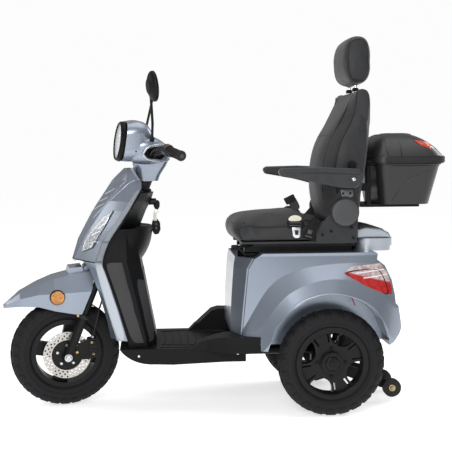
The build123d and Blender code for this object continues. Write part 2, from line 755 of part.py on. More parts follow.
def build_floor():
    deck = extrude(floor_profile(0, 0), FLOOR_HALF_WIDTH, both=True)
    deck = deck - extrude(floor_profile(FLOOR_WALL, 150), FLOOR_HALF_WIDTH - FLOOR_WALL, both=True)
    ramp = [(-144, 250), (-144, FLOOR_HEIGHT), (-117, 284), (-60, 303), (-20, STEP_HEIGHT), (106, STEP_HEIGHT), (106, 262), (60, 252)]
    for side in (-1, 1):
        plan = [(-150, side * 170), (-150, side * 215), (-90, side * 232), (-20, side * 288), (20, side * 302), (106, side * 306), (106, side * 170)]
        flare = extrude(Plane.XY.offset(240) * Polygon(*plan, align=None), amount=90, dir=(0, 0, 1))
        y0, y1 = sorted((side * 150, side * 320))
        flare = flare & prism_y(ramp, y0, y1)
        deck = deck + flare
    hump = prism_y([(-128, 250), (-128, 263), (-85, 303), (-46, 338), (-18, 346), (26, 344), (34, 300), (34, 250)], 175, 262)
    behind = extrude(Plane.XY.offset(STEP_HEIGHT) * Polygon((-2, 150), (36, 254), (36, 280), (90, 280), (90, 150), align=None), amount=60, dir=(0, 0, 1))
    deck = deck + (hump - behind)
    deck = deck - rod(DOWN_TUBE_TOP, DOWN_TUBE_FOOT, DOWN_TUBE_RADIUS + 1)
    deck = deck + slab(-268, -150, -190, 190, FLOOR_HEIGHT - 1, FLOOR_HEIGHT + MAT_THICKNESS)
    save(deck, "floorboard")


# ---------------------------------------------------------------- chassis
REAR_CROSS_X = 262.0
CROSS_RADIUS = 14.0
SHOCK_TOP = (477.0, 540.0)


def build_frame():
    head = rod(column(0, 0, HEAD_BOTTOM_H), column(0, 0, HEAD_TOP_H), STEERER_RADIUS + HEAD_TUBE_WALL)
    down = rod(DOWN_TUBE_TOP, DOWN_TUBE_FOOT, DOWN_TUBE_RADIUS)
    cross_front = rod((-315, -140, 228), (-315, 140, 228), 17)
    pieces = [head, down, cross_front]
    bore = rod(column(0, 0, HEAD_BOTTOM_H - 1), column(0, 0, HEAD_TOP_H + 1), STEERER_RADIUS + RUNNING_CLEARANCE)
    for y in (-125, 125):
        pieces.append(rod((-315, y, 228), (REAR_CROSS_X, y, 228), 16))
        pieces.append(rod((74, y, 228), (74, y, 606), 14))
        pieces.append(rod((470, y, 330), (470, y, 606), 14))
        pieces.append(rod((REAR_CROSS_X, y, 228), (470, y, 350), 15))
    pieces.append(rod((74, -140, 228), (74, 140, 228), 14))
    pieces.append(rod((REAR_CROSS_X, -140, 228), (REAR_CROSS_X, 140, 228), 14))
    pieces.append(rod((SHOCK_TOP[0], -180, SHOCK_TOP[1]), (SHOCK_TOP[0], 180, SHOCK_TOP[1]), 9))
    pieces.append(slab(60, 490, -160, 160, 605, BODY_TOP - BODY_WALL - SEAT_CLEARANCE))
    frame = fuse(*pieces) - bore
    save(frame, "main_frame")
    save(slab(95, 290, -80, 80, 228 + CROSS_RADIUS + SEAT_CLEARANCE, 540), "battery_pack")


def build_rear_axle():
    z = REAR_TYRE_RADIUS
    housing = rod((REAR_AXLE_X, -190, z), (REAR_AXLE_X, 190, z), 30)
    motor = rod((REAR_AXLE_X - 10, -75, z + 6), (REAR_AXLE_X - 10, 75, z + 6), 70)
    links = []
    for side in (-1, 1):
        links.append(rod((REAR_AXLE_X, side * 95, z), (REAR_CROSS_X, side * 95, 228), 12))
        links.append(rod((REAR_CROSS_X, side * 83, 228), (REAR_CROSS_X, side * 107, 228), 22))
    shafts = []
    for side in (-1, 1):
        shafts.append(rod((REAR_AXLE_X, side * 180, z), (REAR_AXLE_X, side * (HALF_TRACK + 45), z), REAR_SHAFT_RADIUS))
        shafts.append(rod((REAR_AXLE_X, side * 150, z), (REAR_AXLE_X, side * 190, z), 62))
    arms = []
    for y in (-60, 60):
        arms.append(prism_y([(400, 170), (400, 130), (560, 70), (660, 40), (680, 60), (600, 110)], y - 4, y + 4))
    pin = rod((665, -94, 52), (665, 94, 52), 5)
    axle = fuse(housing, motor, *links, *shafts, *arms, pin)
    axle = axle - rod((REAR_CROSS_X, -140, 228), (REAR_CROSS_X, 140, 228), 14 + RUNNING_CLEARANCE)
    save(axle, "rear_axle")
    wheels = []
    for side in (-1, 1):
        wheels.append(ring_y([(-12, 5.05), (-12, 14), (-10, 37), (10, 37), (12, 14), (12, 5.05)], (665, side * 79, 52)))
    save(group(wheels), "caster_wheels")
    shocks = []
    for side in (-1, 1):
        foot = Vector(REAR_AXLE_X + 30, side * 163, z + 45)
        top = Vector(SHOCK_TOP[0], side * 163, SHOCK_TOP[1])
        along = (top - foot).normalized()
        shock = fuse(rod(foot, foot + along * 200, 18), rod(foot, top, 8), disc_y(top.X, top.Z, 16, top.Y - 10, top.Y + 10))
        shock = shock - disc_y(top.X, top.Z, 9 + RUNNING_CLEARANCE, -200, 200)
        shock = shock - rod((REAR_AXLE_X, -192, z), (REAR_AXLE_X, 192, z), 62 + RUNNING_CLEARANCE)
        shocks.append(shock)
    save(group(shocks), "shock_absorbers")


# ---------------------------------------------------------------- rear bodywork
REAR_SECTIONS = [
    # x, crease z, lip z, crease half width, lip half width
    (40, 330, 262, 250, 262),
    (90, 410, 262, 252, 306),
    (144, 492, 300, 254, 330),
    (210, 540, 400, 256, 334),
    (287, 566, 450, 257, 336),
    (352, 576, 474, 257, 337),
    (420, 581, 470, 257, 336),
    (500, 584, 430, 256, 333),
    (560, 580, 370, 252, 328),
    (600, 560, 310, 244, 310),
    (640, 520, 290, 220, 272),
    (668, 480, 285, 190, 225),
]
ARCH = [(128, 190), (132, 264), (162, 356), (217, 414), (276, 451), (352, 477), (417, 476), (461, 459), (516, 425), (560, 375), (593, 303), (600, 190)]
BODY_SIDE = [(41, 262), (43, 310), (69, 563), (91, 601), (124, BODY_TOP), (560, BODY_TOP), (566, 616), (561, 594), (592, 570), (620, 514), (632, 458), (634, 425), (647, 413), (652, 385), (662, 329), (645, 306), (617, 282), (560, 262)]


ARCH_INNER_Y = 190.0
LINER_WALL = 4.0


def rear_volume(inset):
    """Flared outer volume of the rear bodywork."""
    faces = []
    for x, zc, zl, wc, wl in REAR_SECTIONS:
        wt = wc - 6
        zm = (zc + zl) / 2
        wm = (wc + wl) / 2 + 8
        right = [
            (wt - inset - 8, BODY_TOP - inset),
            (wt - inset, BODY_TOP - 10 - inset),
            (wc - inset, zc),
            (wm - inset, zm),
            (wl - inset, zl),
            (wl - inset, 250),
        ]
        left = [(-y, z) for y, z in reversed(right)]
        plane = Plane(origin=(x, 0, 0), x_dir=(0, 1, 0), z_dir=(1, 0, 0))
        faces.append(plane * Polygon(*(right + left), align=None))
    return loft(faces)


def arch_block(inner_y, growth):
    """Wheel well on both sides, grown by the wall of its liner."""
    outline = Polygon(*ARCH, align=None)
    if growth:
        outline = offset(outline, growth)
    right = extrude(Plane.XZ.offset(-380) * outline, amount=380 - inner_y, dir=(0, -1, 0))
    return both_sides(right)


LAMP = [(425, 546), (458, 570), (572, 579), (602, 543), (619, 482), (616, 460), (580, 467), (503, 501)]


def build_rear_body():
    side = Polygon(*BODY_SIDE, align=None)
    outer = rear_volume(0) & extrude(Plane.XZ.offset(-360) * side, amount=720, dir=(0, -1, 0))
    room = extrude(Plane.XZ.offset(-350) * offset(side, -BODY_WALL), amount=700, dir=(0, -1, 0))
    room = room + slab(60, 590, -350, 350, 200, 300)
    cavity = rear_volume(BODY_WALL) & room
    for block in arch_block(ARCH_INNER_Y - LINER_WALL, LINER_WALL):
        cavity = cavity - block
    shell = outer - cavity
    for block in arch_block(ARCH_INNER_Y, 0):
        shell = shell - block
    shell = shell - slab(0, 106.5, -340, 340, 200, STEP_HEIGHT + SEAT_CLEARANCE)
    shell = shell - slab(50, 556, -184, 184, 200, BODY_TOP - BODY_WALL)
    shell = shell - disc_y(REAR_AXLE_X, REAR_TYRE_RADIUS, 110, -200, 200)
    lamp_cut = prism_y(LAMP, 205, 400) + prism_y(LAMP, -400, -205)
    lamps = (outer & lamp_cut) - rear_volume(26)
    shell = shell - lamp_cut
    save(shell, "rear_body")
    lower = []
    for side_sign in (-1, 1):
        y0, y1 = sorted((side_sign * 150, side_sign * 188))
        lower.append(prism_y([(652.5, 384), (658.5, 385), (668.5, 330), (662.5, 328)], y0, y1))
    save(group(lamps.solids() + lower), "tail_lamps")


def build_pedestal():
    levels = [
        (STEP_HEIGHT + 0.3, 5, 42, 250),
        (439, 9, 54, 250),
        (565, 18, 68, 248),
        (603, 24, 90, 246),
    ]
    faces = []
    for z, front, back, half in levels:
        right = [(front, 160), (back - 6, half - 2), (back - 0.3, half - 2), (back - 0.3, half - 60), (front + 6, 155)]
        left = [(x, -y) for x, y in reversed(right)]
        faces.append((z, right + left))
    panel = plan_loft(faces)
    save(panel, "pedestal_panel")


def build_deck():
    base = extrude(Plane.XY.offset(BODY_TOP) * (Pos(570, 0) * RectangleRounded(140, 360, 50)), amount=18)
    band = extrude(Plane.XY.offset(BODY_TOP + 18) * (Pos(573, 0) * RectangleRounded(146, 366, 52)), amount=30)
    top = [(501, 668), (501, 700), (540, 709), (596, 704), (628, 689), (640, 668)]
    pad = prism_y(top, -165, 165)
    pad = fillet(pad.faces().sort_by(Axis.Y)[0].edges() + pad.faces().sort_by(Axis.Y)[-1].edges(), 7)
    save(fuse(base, band, pad), "rear_deck")


# ---------------------------------------------------------------- seat
SLIDE_GAP = 0.3
RAIL_TOP = BODY_TOP + RAIL_HEIGHT
SLIDER_TOP = RAIL_TOP + 16
FRAME_TOP = SLIDER_TOP + 8
SIDE_PLATE_Y = BACK_HALF_WIDTH + 1 + PLATE + MOVING_GAP
CUSHION_HALF_WIDTH = 222.0


CUSHION_SECTIONS = [
    # y, front x, front roll z, top front z, top z, rear x
    (0, 0, 722, 748, 767, 325),
    (120, 4, 722, 746, 764, 325),
    (190, 14, 718, 738, 752, 325),
    (CUSHION_HALF_WIDTH, 30, 712, 728, 735, 322),
]


def seat_pad():
    """Crowned seat cushion with a rolled front edge."""
    rows = []
    for y, front, roll, nose, top, rear in CUSHION_SECTIONS:
        points = [
            (front + 22, FRAME_TOP),
            (front, roll),
            (front + 16, nose),
            (front + 70, top - 5),
            (200, top),
            (rear - 8, top - 6),
            (rear, top - 40),
            (rear - 6, FRAME_TOP + 6),
            (170, FRAME_TOP),
        ]
        rows.append((y, points))
    pad = pad_loft(mirrored(rows))
    return pad - slab(-60, 400, -300, 300, FRAME_TOP - 40, FRAME_TOP)


def build_seat():
    rails = []
    for side in (-1, 1):
        y = side * RAIL_HALF_SPACING
        rails.append(slab(60, 480, y - 18, y + 18, BODY_TOP, RAIL_TOP))
    save(group(rails), "seat_rails")
    pieces = []
    for side in (-1, 1):
        y = side * RAIL_HALF_SPACING
        pieces.append(slab(45, 492, y - 20, y + 20, RAIL_TOP + SLIDE_GAP, SLIDER_TOP))
        y0, y1 = sorted((side * SIDE_PLATE_Y, side * (SIDE_PLATE_Y + PLATE)))
        outline = [(329, SLIDER_TOP), (486, SLIDER_TOP), (492, 770), (470, 815), (404, 815), (385, 770), (360, 742), (329, 738)]
        pieces.append(prism_y(outline, y0, y1, 5))
        y0, y1 = sorted((side * (SIDE_PLATE_Y + PLATE), side * (SIDE_PLATE_Y + PLATE + 24)))
        pieces.append(disc_y(PIVOT_X, PIVOT_Z, 53, y0, y1))
    pieces.append(slab(45, 492, -SIDE_PLATE_Y, SIDE_PLATE_Y, SLIDER_TOP, FRAME_TOP))
    pin_hole = disc_y(PIVOT_X, PIVOT_Z, PIVOT_RADIUS + RUNNING_CLEARANCE, -SIDE_PLATE_Y - PLATE, SIDE_PLATE_Y + PLATE)
    save(fuse(*pieces) - pin_hole, "seat_frame")
    save(seat_pad(), "seat_cushion")
    belts = []
    for side in (-1, 1):
        y0, y1 = sorted((side * (SIDE_PLATE_Y + PLATE + 0.3), side * (SIDE_PLATE_Y + PLATE + 14)))
        belts.append(prism_y([(318, 672), (344, 684), (296, 768), (272, 754)], y0, y1, 3))
    y0, y1 = -CUSHION_HALF_WIDTH - 12, -CUSHION_HALF_WIDTH - SEAT_CLEARANCE
    strap = prism_y([(216, 690), (262, 690), (268, 770), (226, 776)], y0, y1, 4)
    end = prism_y([(196, 826), (222, 842), (260, 784), (226, 772)], y0, y1, 2)
    belts.append(strap + end)
    save(group(belts), "seat_belt")


BACK_SECTIONS = [
    # y, front line from the bottom up
    (0, [(362, 826), (355, 888), (359, 959), (373, 1012), (399, 1066), (438, 1115), (472, 1164), (492, 1217)]),
    (110, [(365, 826), (361, 888), (366, 959), (378, 1012), (403, 1066), (440, 1115), (473, 1164), (490, 1217)]),
    (175, [(388, 832), (382, 892), (384, 955), (395, 1006), (416, 1062), (446, 1110), (473, 1159), (483, 1208)]),
    (BACK_HALF_WIDTH, [(404, 839), (396, 897), (396, 954), (404, 1003), (423, 1060), (450, 1105), (473, 1154), (476, 1200)]),
]
BACK_REAR = [(500, 1252), (528, 1248), (542, 1222), (542, 1162), (539, 1086), (535, 1010), (524, 915), (509, 819), (498, 750)]
HEADREST_SECTIONS = [
    # y, shrink towards the middle of the outline
    (0, 1.0),
    (70, 0.985),
    (112, 0.93),
    (130, 0.80),
]
HEADREST = [
    (454, 1360),
    (458, 1412),
    (478, 1449),
    (512, 1462),
    (545, 1455),
    (566, 1420),
    (570, 1358),
    (566, 1300),
    (546, 1270),
    (508, 1264),
    (474, 1280),
    (458, 1316),
]


HEAD_POST_X = 516.0
POST_RADIUS = 6.0


def back_volume():
    """Crowned backrest: the front swells towards the middle and the sides are flat."""
    rows = []
    for y, front in BACK_SECTIONS:
        low = [(PIVOT_X + 14, PIVOT_Z - 70), (PIVOT_X - 40, PIVOT_Z - 40)]
        rows.append((y, front + BACK_REAR + low))
    return pad_loft(mirrored(rows))


def headrest_pad():
    """Pillow-shaped headrest."""
    centre = (512, 1363)
    rows = []
    for y, share in HEADREST_SECTIONS:
        rows.append((y, [(centre[0] + (x - centre[0]) * share, centre[1] + (z - centre[1]) * share) for x, z in HEADREST]))
    return pad_loft(mirrored(rows))


def build_back():
    back = back_volume()
    head = headrest_pad()
    posts = [rod((HEAD_POST_X, y, 1212), (HEAD_POST_X, y, 1300), POST_RADIUS) for y in (-60, 60)]
    save(fuse(head, *posts), "headrest")
    sockets = [
        rod((HEAD_POST_X, y, 1211), (HEAD_POST_X, y, 1300), POST_RADIUS + RUNNING_CLEARANCE) for y in (-60, 60)
    ]
    save(back - fuse(*sockets), "seat_back")
    plates = []
    for side in (-1, 1):
        y0, y1 = sorted((side * (BACK_HALF_WIDTH + 0.3), side * (BACK_HALF_WIDTH + PLATE)))
        plate = prism_y([(400, 760), (474, 760), (476, 830), (484, 905), (470, 920), (448, 915), (412, 840)], y0, y1, 6)
        y2, y3 = sorted((side * (BACK_HALF_WIDTH + 0.3), side * (SIDE_PLATE_Y + PLATE - 0.5)))
        pin = disc_y(PIVOT_X, PIVOT_Z, PIVOT_RADIUS, y2, y3)
        y4, y5 = sorted((side * (BACK_HALF_WIDTH + 0.3), side * (BACK_HALF_WIDTH + 50)))
        arm_pin = disc_y(ARM_PIVOT_X, ARM_PIVOT_Z, ARM_PIN_RADIUS, y4, y5)
        plates.append(fuse(plate, pin, arm_pin))
    save(group(plates), "back_brackets")


ARM_INNER_Y = BACK_HALF_WIDTH + PLATE + MOVING_GAP
ARM_WIDTH = 50.0


def build_armrests():
    outline = [(178, 918), (182, 938), (220, 946), (330, 948), (492, 941), (500, 915), (494, 878), (470, 864), (430, 864), (300, 893), (220, 906)]
    for side, name in ((-1, "left"), (1, "right")):
        y0, y1 = sorted((side * ARM_INNER_Y, side * (ARM_INNER_Y + ARM_WIDTH)))
        arm = prism_y(outline, y0, y1, 4)
        hole = disc_y(ARM_PIVOT_X, ARM_PIVOT_Z, ARM_PIN_RADIUS + RUNNING_CLEARANCE, y0 - 1, y1 + 1)
        save(arm - hole, f"armrest_{name}")


# ---------------------------------------------------------------- top box
def box_plan(z, x0, x1, half, radius):
    """Plan outline at a height: square towards the seat and bowed at the rear."""
    bow = 0.5 * half
    start = (x1 - bow, -half)
    end = (x1 - bow, half)
    flank = x1 - 0.13 * bow
    rear = Spline(
        start, (flank, -0.52 * half), (x1, 0), (flank, 0.52 * half), end, tangents=[(1, 0), (-1, 0)]
    )
    sides = [Line((x0, -half), start), rear, Line(end, (x0, half)), Line((x0, half), (x0, -half))]
    face = make_face(Curve() + sides)
    corners = face.vertices().sort_by(Axis.X)[:2]
    return Plane.XY.offset(z) * fillet(corners, radius)


LID_GROWTH = 8.0
RIM_LIP = 4.0


def inside(size):
    """Plan size reduced by one wall: front x, rear x, half width and corner radius."""
    x0, x1, half, radius = size
    return (x0 + BOX_WALL, x1 - BOX_WALL, half - BOX_WALL, radius - BOX_WALL)


def build_box():
    plate = slab(530, 763, -110, 110, 786, 798)
    pieces = [plate]
    for y in (-95, 95):
        pieces.append(prism_y([(552, 786), (568, 786), (568, 950), (552, 950)], y - 18, y + 18))
        pieces.append(slab(500, 553, y - 18, y + 18, 850, 880))
    save(fuse(*pieces) - back_volume(), "box_rack")
    low = (594, 815, 165, 45)
    rim = (573, 858, 204, 45)
    base_z = BOX_FLOOR_Z - 4.7
    outer = loft([box_plan(base_z, *low), box_plan(BOX_RIM_Z, *rim)])
    flange = [rim[0] - LID_GROWTH, rim[1] + LID_GROWTH + 6, rim[2] + LID_GROWTH, rim[3]]
    outer = outer + extrude(box_plan(BOX_RIM_Z - RIM_LIP, *flange), amount=RIM_LIP)
    inner = loft([box_plan(BOX_FLOOR_Z, *inside(low)), box_plan(BOX_RIM_Z + 0.1, *inside(rim))])
    bin_shell = outer - inner
    for y in (-HINGE_Y, HINGE_Y):
        y0, y1 = y - KNUCKLE_HALF, y + KNUCKLE_HALF
        knuckle = disc_y(HINGE_X, HINGE_Z, HINGE_KNUCKLE_RADIUS, y0, y1)
        arm = slab(HINGE_X, flange[0] + 2, y0, y1, BOX_RIM_Z - RIM_LIP, BOX_RIM_Z)
        hole = disc_y(HINGE_X, HINGE_Z, HINGE_PIN_RADIUS + RUNNING_CLEARANCE, y0 - 1, y1 + 1)
        bin_shell = bin_shell + knuckle + arm - hole
    save(bin_shell, "top_box")
    rim_z = BOX_RIM_Z + SEAT_CLEARANCE
    lid = [flange[0] - 4, flange[1] + 4, flange[2] + 4, flange[3]]
    shoulder = (lid[0] + 2, lid[1] - 6, lid[2] - 6, 45)
    crown = (lid[0] + 26, lid[1] - 74, lid[2] - 60, 40)
    crest = (lid[0] + 66, lid[1] - 142, lid[2] - 110, 34)
    heights = (rim_z + 22, rim_z + 84, rim_z + 112)
    band = extrude(box_plan(rim_z, *lid), amount=22)
    dome = loft([box_plan(heights[0], *shoulder), box_plan(heights[1], *crown), box_plan(heights[2], *crest)])
    hollow = loft(
        [
            box_plan(rim_z - 0.1, *inside(inside(lid))),
            box_plan(heights[0], *inside(shoulder)),
            box_plan(heights[1] - BOX_WALL, *inside(crown)),
            box_plan(heights[2] - 2 * BOX_WALL, *inside(crest)),
        ],
        ruled=True,
    )
    lid_shell = band + dome - hollow
    for y in (-HINGE_Y, HINGE_Y):
        side = KNUCKLE_HALF + 0.5
        lid_shell = lid_shell - disc_y(HINGE_X, HINGE_Z, HINGE_KNUCKLE_RADIUS + 1, y - side, y + side)
        reach = KNUCKLE_HALF + 5
        lid_shell = lid_shell + disc_y(HINGE_X, HINGE_Z, HINGE_PIN_RADIUS, y - reach, y + reach)
        for end in (y - reach, y + KNUCKLE_HALF + 1):
            lid_shell = lid_shell + slab(HINGE_X - 5, flange[0] - 1, end, end + 4, HINGE_Z - 2, HINGE_Z + 10)
    save(lid_shell, "box_lid")


build_wheels()
build_fork()
build_fender()
build_headset()
build_bar()
build_mirrors()
build_brake()
leg_shield = build_shield()
build_knee_panel(leg_shield)
build_bellows()
build_keys()
build_floor()
build_frame()
build_rear_axle()
build_rear_body()
build_pedestal()
build_deck()
build_seat()
build_back()
build_armrests()
build_box()
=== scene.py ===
"""Dresses the electric three-wheel mobility scooter: finishes, upholstery and fine pieces.

Lengths are in metres in the vehicle's frame: the nose points along -X, the left side is -Y.
"""
import json
import logging
import math
from dataclasses import dataclass, field
from enum import Enum
from typing import Callable, Iterable, Optional, Sequence

import bpy
from mathutils import Matrix, Vector

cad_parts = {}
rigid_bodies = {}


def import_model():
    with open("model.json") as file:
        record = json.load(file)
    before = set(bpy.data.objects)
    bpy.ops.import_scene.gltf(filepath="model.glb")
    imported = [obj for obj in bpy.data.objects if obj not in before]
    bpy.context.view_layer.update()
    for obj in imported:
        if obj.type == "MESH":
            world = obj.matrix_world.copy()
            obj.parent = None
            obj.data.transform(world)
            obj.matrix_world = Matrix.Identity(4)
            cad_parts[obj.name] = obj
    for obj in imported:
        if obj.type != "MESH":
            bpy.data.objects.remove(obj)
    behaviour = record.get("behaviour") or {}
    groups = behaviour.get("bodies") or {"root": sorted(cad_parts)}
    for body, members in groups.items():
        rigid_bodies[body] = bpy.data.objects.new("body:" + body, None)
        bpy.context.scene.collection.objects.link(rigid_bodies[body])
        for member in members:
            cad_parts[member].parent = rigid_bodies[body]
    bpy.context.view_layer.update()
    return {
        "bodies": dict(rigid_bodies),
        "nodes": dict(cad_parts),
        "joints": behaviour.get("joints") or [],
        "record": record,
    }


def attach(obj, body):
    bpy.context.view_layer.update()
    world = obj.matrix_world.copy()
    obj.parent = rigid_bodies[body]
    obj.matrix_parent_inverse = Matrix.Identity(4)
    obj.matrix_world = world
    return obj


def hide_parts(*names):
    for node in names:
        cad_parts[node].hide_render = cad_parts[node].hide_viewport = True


logging.basicConfig(level=logging.INFO, format="%(message)s")
log = logging.getLogger("scooter")

Point = Sequence[float]
Colour = tuple[float, float, float]
SIDES = ((-1, "left"), (1, "right"))


# ---------------------------------------------------------------- finishes
class Tree:
    """A material's node tree, with short ways to add and join its nodes."""

    def __init__(self, name: str) -> None:
        """Start an empty material with a shader and an output."""
        self.material = bpy.data.materials.new(name)
        self.material.use_nodes = True
        self.nodes = self.material.node_tree.nodes
        self.links = self.material.node_tree.links
        self.shader = self.nodes["Principled BSDF"]
        self.place = self.nodes.new("ShaderNodeTexCoord").outputs["Object"]

    def add(self, kind: str, **values: object) -> bpy.types.Node:
        """Add a node.

        Args:
            kind: The node's type without its ShaderNode prefix.
            **values: Attributes of the node.

        Returns:
            The new node.
        """
        node = self.nodes.new("ShaderNode" + kind)
        for key, value in values.items():
            setattr(node, key, value)
        return node

    def join(self, source: bpy.types.NodeSocket, node: bpy.types.Node, socket: object) -> None:
        """Link an output to a node's input."""
        self.links.new(source, node.inputs[socket])

    def noise(self, scale: float, detail: float = 3.0, stretch: Point = (1, 1, 1)) -> bpy.types.NodeSocket:
        """Fractal noise on object coordinates.

        Args:
            scale: Features per metre.
            detail: Number of octaves.
            stretch: Scale along each axis.

        Returns:
            The noise value.
        """
        mapping = self.add("Mapping")
        mapping.inputs["Scale"].default_value = stretch
        self.join(self.place, mapping, "Vector")
        node = self.add("TexNoise")
        node.inputs["Scale"].default_value = scale
        node.inputs["Detail"].default_value = detail
        self.join(mapping.outputs[0], node, "Vector")
        return node.outputs[0]

    def ramp(self, source: bpy.types.NodeSocket, low: float, high: float) -> bpy.types.NodeSocket:
        """Map a 0 to 1 value onto the range low to high."""
        node = self.add("MapRange")
        node.inputs["To Min"].default_value = low
        node.inputs["To Max"].default_value = high
        self.join(source, node, "Value")
        return node.outputs[0]

    def tint(self, source: bpy.types.NodeSocket, first: Colour, second: Colour) -> bpy.types.NodeSocket:
        """Blend two colours by a 0 to 1 value."""
        node = self.add("Mix", data_type="RGBA")
        node.inputs["A"].default_value = (*first, 1)
        node.inputs["B"].default_value = (*second, 1)
        self.join(source, node, "Factor")
        return node.outputs["Result"]

    def bump(self, source: bpy.types.NodeSocket, depth: float, strength: float = 1.0) -> None:
        """Raise the surface by a height value, depth metres at most."""
        node = self.add("Bump")
        node.inputs["Distance"].default_value = depth
        node.inputs["Strength"].default_value = strength
        self.join(source, node, "Height")
        previous = self.shader.inputs["Normal"].links
        if previous:
            self.join(previous[0].from_socket, node, "Normal")
        self.join(node.outputs[0], self.shader, "Normal")

    def set(self, **values: object) -> None:
        """Set plain values on the shader, underscores standing for spaces."""
        for key, value in values.items():
            self.shader.inputs[key.replace("_", " ")].default_value = value


@dataclass(frozen=True)
class Finish:
    """What every finish has: a name, the record's slot, a colour and a roughness."""

    name: str
    slot: str
    colour: Colour
    roughness: float = 0.5

    def build(self) -> bpy.types.Material:
        """Make the material, once per name.

        Returns:
            The material.
        """
        found = bpy.data.materials.get(self.name)
        if found:
            return found
        tree = Tree(self.name)
        tree.set(Base_Color=(*self.colour, 1), Roughness=self.roughness)
        self.dress(tree)
        return tree.material

    def dress(self, tree: Tree) -> None:
        """Add what is special to this finish."""

    def shades(self, tree: Tree, source: bpy.types.NodeSocket, spread: float) -> None:
        """Vary the colour a little by a 0 to 1 value."""
        dark = tuple(c * (1 - spread) for c in self.colour)
        pale = tuple(min(1.0, c * (1 + spread) + spread * 0.01) for c in self.colour)
        tree.join(tree.tint(source, dark, pale), tree.shader, "Base Color")

    def gloss(self, tree: Tree, source: bpy.types.NodeSocket, below: float, above: float) -> None:
        """Vary the roughness a little below and above its value by a 0 to 1 value."""
        roughness = tree.ramp(source, self.roughness - below, self.roughness + above)
        tree.join(roughness, tree.shader, "Roughness")


@dataclass(frozen=True)
class Paint(Finish):
    """Metallic paint under clear lacquer."""

    flake: float = 900.0
    metallic: float = 0.72

    def dress(self, tree: Tree) -> None:
        """Add flakes, lacquer and a faint haze of dust."""
        flakes = tree.noise(self.flake, 2.0)
        self.shades(tree, flakes, 0.10)
        haze = tree.noise(6.0, 4.0)
        self.gloss(tree, haze, 0.05, 0.08)
        tree.bump(flakes, 0.00004, 0.25)
        tree.set(Metallic=self.metallic, Coat_Weight=0.6, Coat_Roughness=0.12)


@dataclass(frozen=True)
class Plastic(Finish):
    """Moulded plastic with a fine leather-like grain."""

    grain: float = 420.0
    depth: float = 0.00025
    shine: float = 0.12

    def dress(self, tree: Tree) -> None:
        """Add grain, handling marks and uneven gloss."""
        node = tree.add("TexVoronoi")
        node.inputs["Scale"].default_value = self.grain
        tree.join(tree.place, node, "Vector")
        tree.bump(node.outputs["Distance"], self.depth, 0.5)
        marks = tree.noise(9.0, 5.0)
        self.shades(tree, marks, 0.18)
        self.gloss(tree, marks, 0.08, 0.1)
        tree.set(Specular_IOR_Level=self.shine)


@dataclass(frozen=True)
class Rubber(Finish):
    """Dull rubber with dust caught in it."""

    dust: Colour = (0.12, 0.12, 0.12)

    def dress(self, tree: Tree) -> None:
        """Add mottling and a soft pitted surface."""
        mottle = tree.noise(38.0, 6.0)
        pits = tree.noise(900.0, 2.0)
        share = tree.ramp(mottle, 0.0, 0.35)
        tree.join(tree.tint(share, self.colour, self.dust), tree.shader, "Base Color")
        self.gloss(tree, mottle, 0.1, 0.1)
        tree.bump(pits, 0.0002, 0.4)
        tree.set(Specular_IOR_Level=0.22)


@dataclass(frozen=True)
class Metal(Finish):
    """Bare or plated metal with fine machining lines."""

    stretch: tuple[float, float, float] = (1.0, 1.0, 1.0)
    metallic: float = 1.0

    def dress(self, tree: Tree) -> None:
        """Add machining lines and small stains."""
        lines = tree.noise(600.0, 3.0, self.stretch)
        stains = tree.noise(24.0, 4.0)
        self.shades(tree, stains, 0.12)
        self.gloss(tree, lines, 0.06, 0.12)
        tree.bump(lines, 0.00002, 0.15)
        tree.set(Metallic=self.metallic)


@dataclass(frozen=True)
class Enamel(Finish):
    """Sprayed enamel on steel with slight orange peel."""

    def dress(self, tree: Tree) -> None:
        """Add orange peel and dull patches."""
        peel = tree.noise(260.0, 2.0)
        patches = tree.noise(14.0, 5.0)
        self.shades(tree, patches, 0.25)
        self.gloss(tree, patches, 0.08, 0.12)
        tree.bump(peel, 0.00015, 0.3)
        tree.set(Specular_IOR_Level=0.16)


@dataclass(frozen=True)
class Vinyl(Finish):
    """Coated upholstery fabric with a small pebble grain."""

    pebble: float = 520.0

    def dress(self, tree: Tree) -> None:
        """Add pebbles, creases with painted shade in their hollows, and a low sheen."""
        pebbles = tree.add("TexVoronoi", feature="SMOOTH_F1")
        pebbles.inputs["Scale"].default_value = self.pebble
        tree.join(tree.place, pebbles, "Vector")
        creases = tree.noise(30.0, 5.0)
        # the crease noise also sets the colour, darker where the bump sinks: painted shade in the creases
        self.shades(tree, creases, 0.3)
        tree.bump(creases, 0.002, 0.25)
        tree.bump(pebbles.outputs["Distance"], 0.0005, 0.5)
        self.gloss(tree, creases, 0.06, 0.1)
        tree.set(Sheen_Weight=0.12, Sheen_Roughness=0.5, Specular_IOR_Level=0.3)


@dataclass(frozen=True)
class Lens(Finish):
    """Clear or tinted lamp plastic."""

    clear: float = 0.6
    glow: float = 0.0

    def dress(self, tree: Tree) -> None:
        """Add faint flutes, uneven gloss and light passing through."""
        flutes = tree.add("TexWave", bands_direction="Z")
        flutes.inputs["Scale"].default_value = 60.0
        tree.join(tree.place, flutes, "Vector")
        tree.bump(flutes.outputs["Fac"], 0.0002, 0.12)
        self.gloss(tree, tree.noise(20.0), 0.0, 0.08)
        tree.set(Transmission_Weight=self.clear, IOR=1.49, Coat_Weight=0.5)
        if self.glow:
            tree.set(Emission_Color=(*self.colour, 1), Emission_Strength=self.glow)


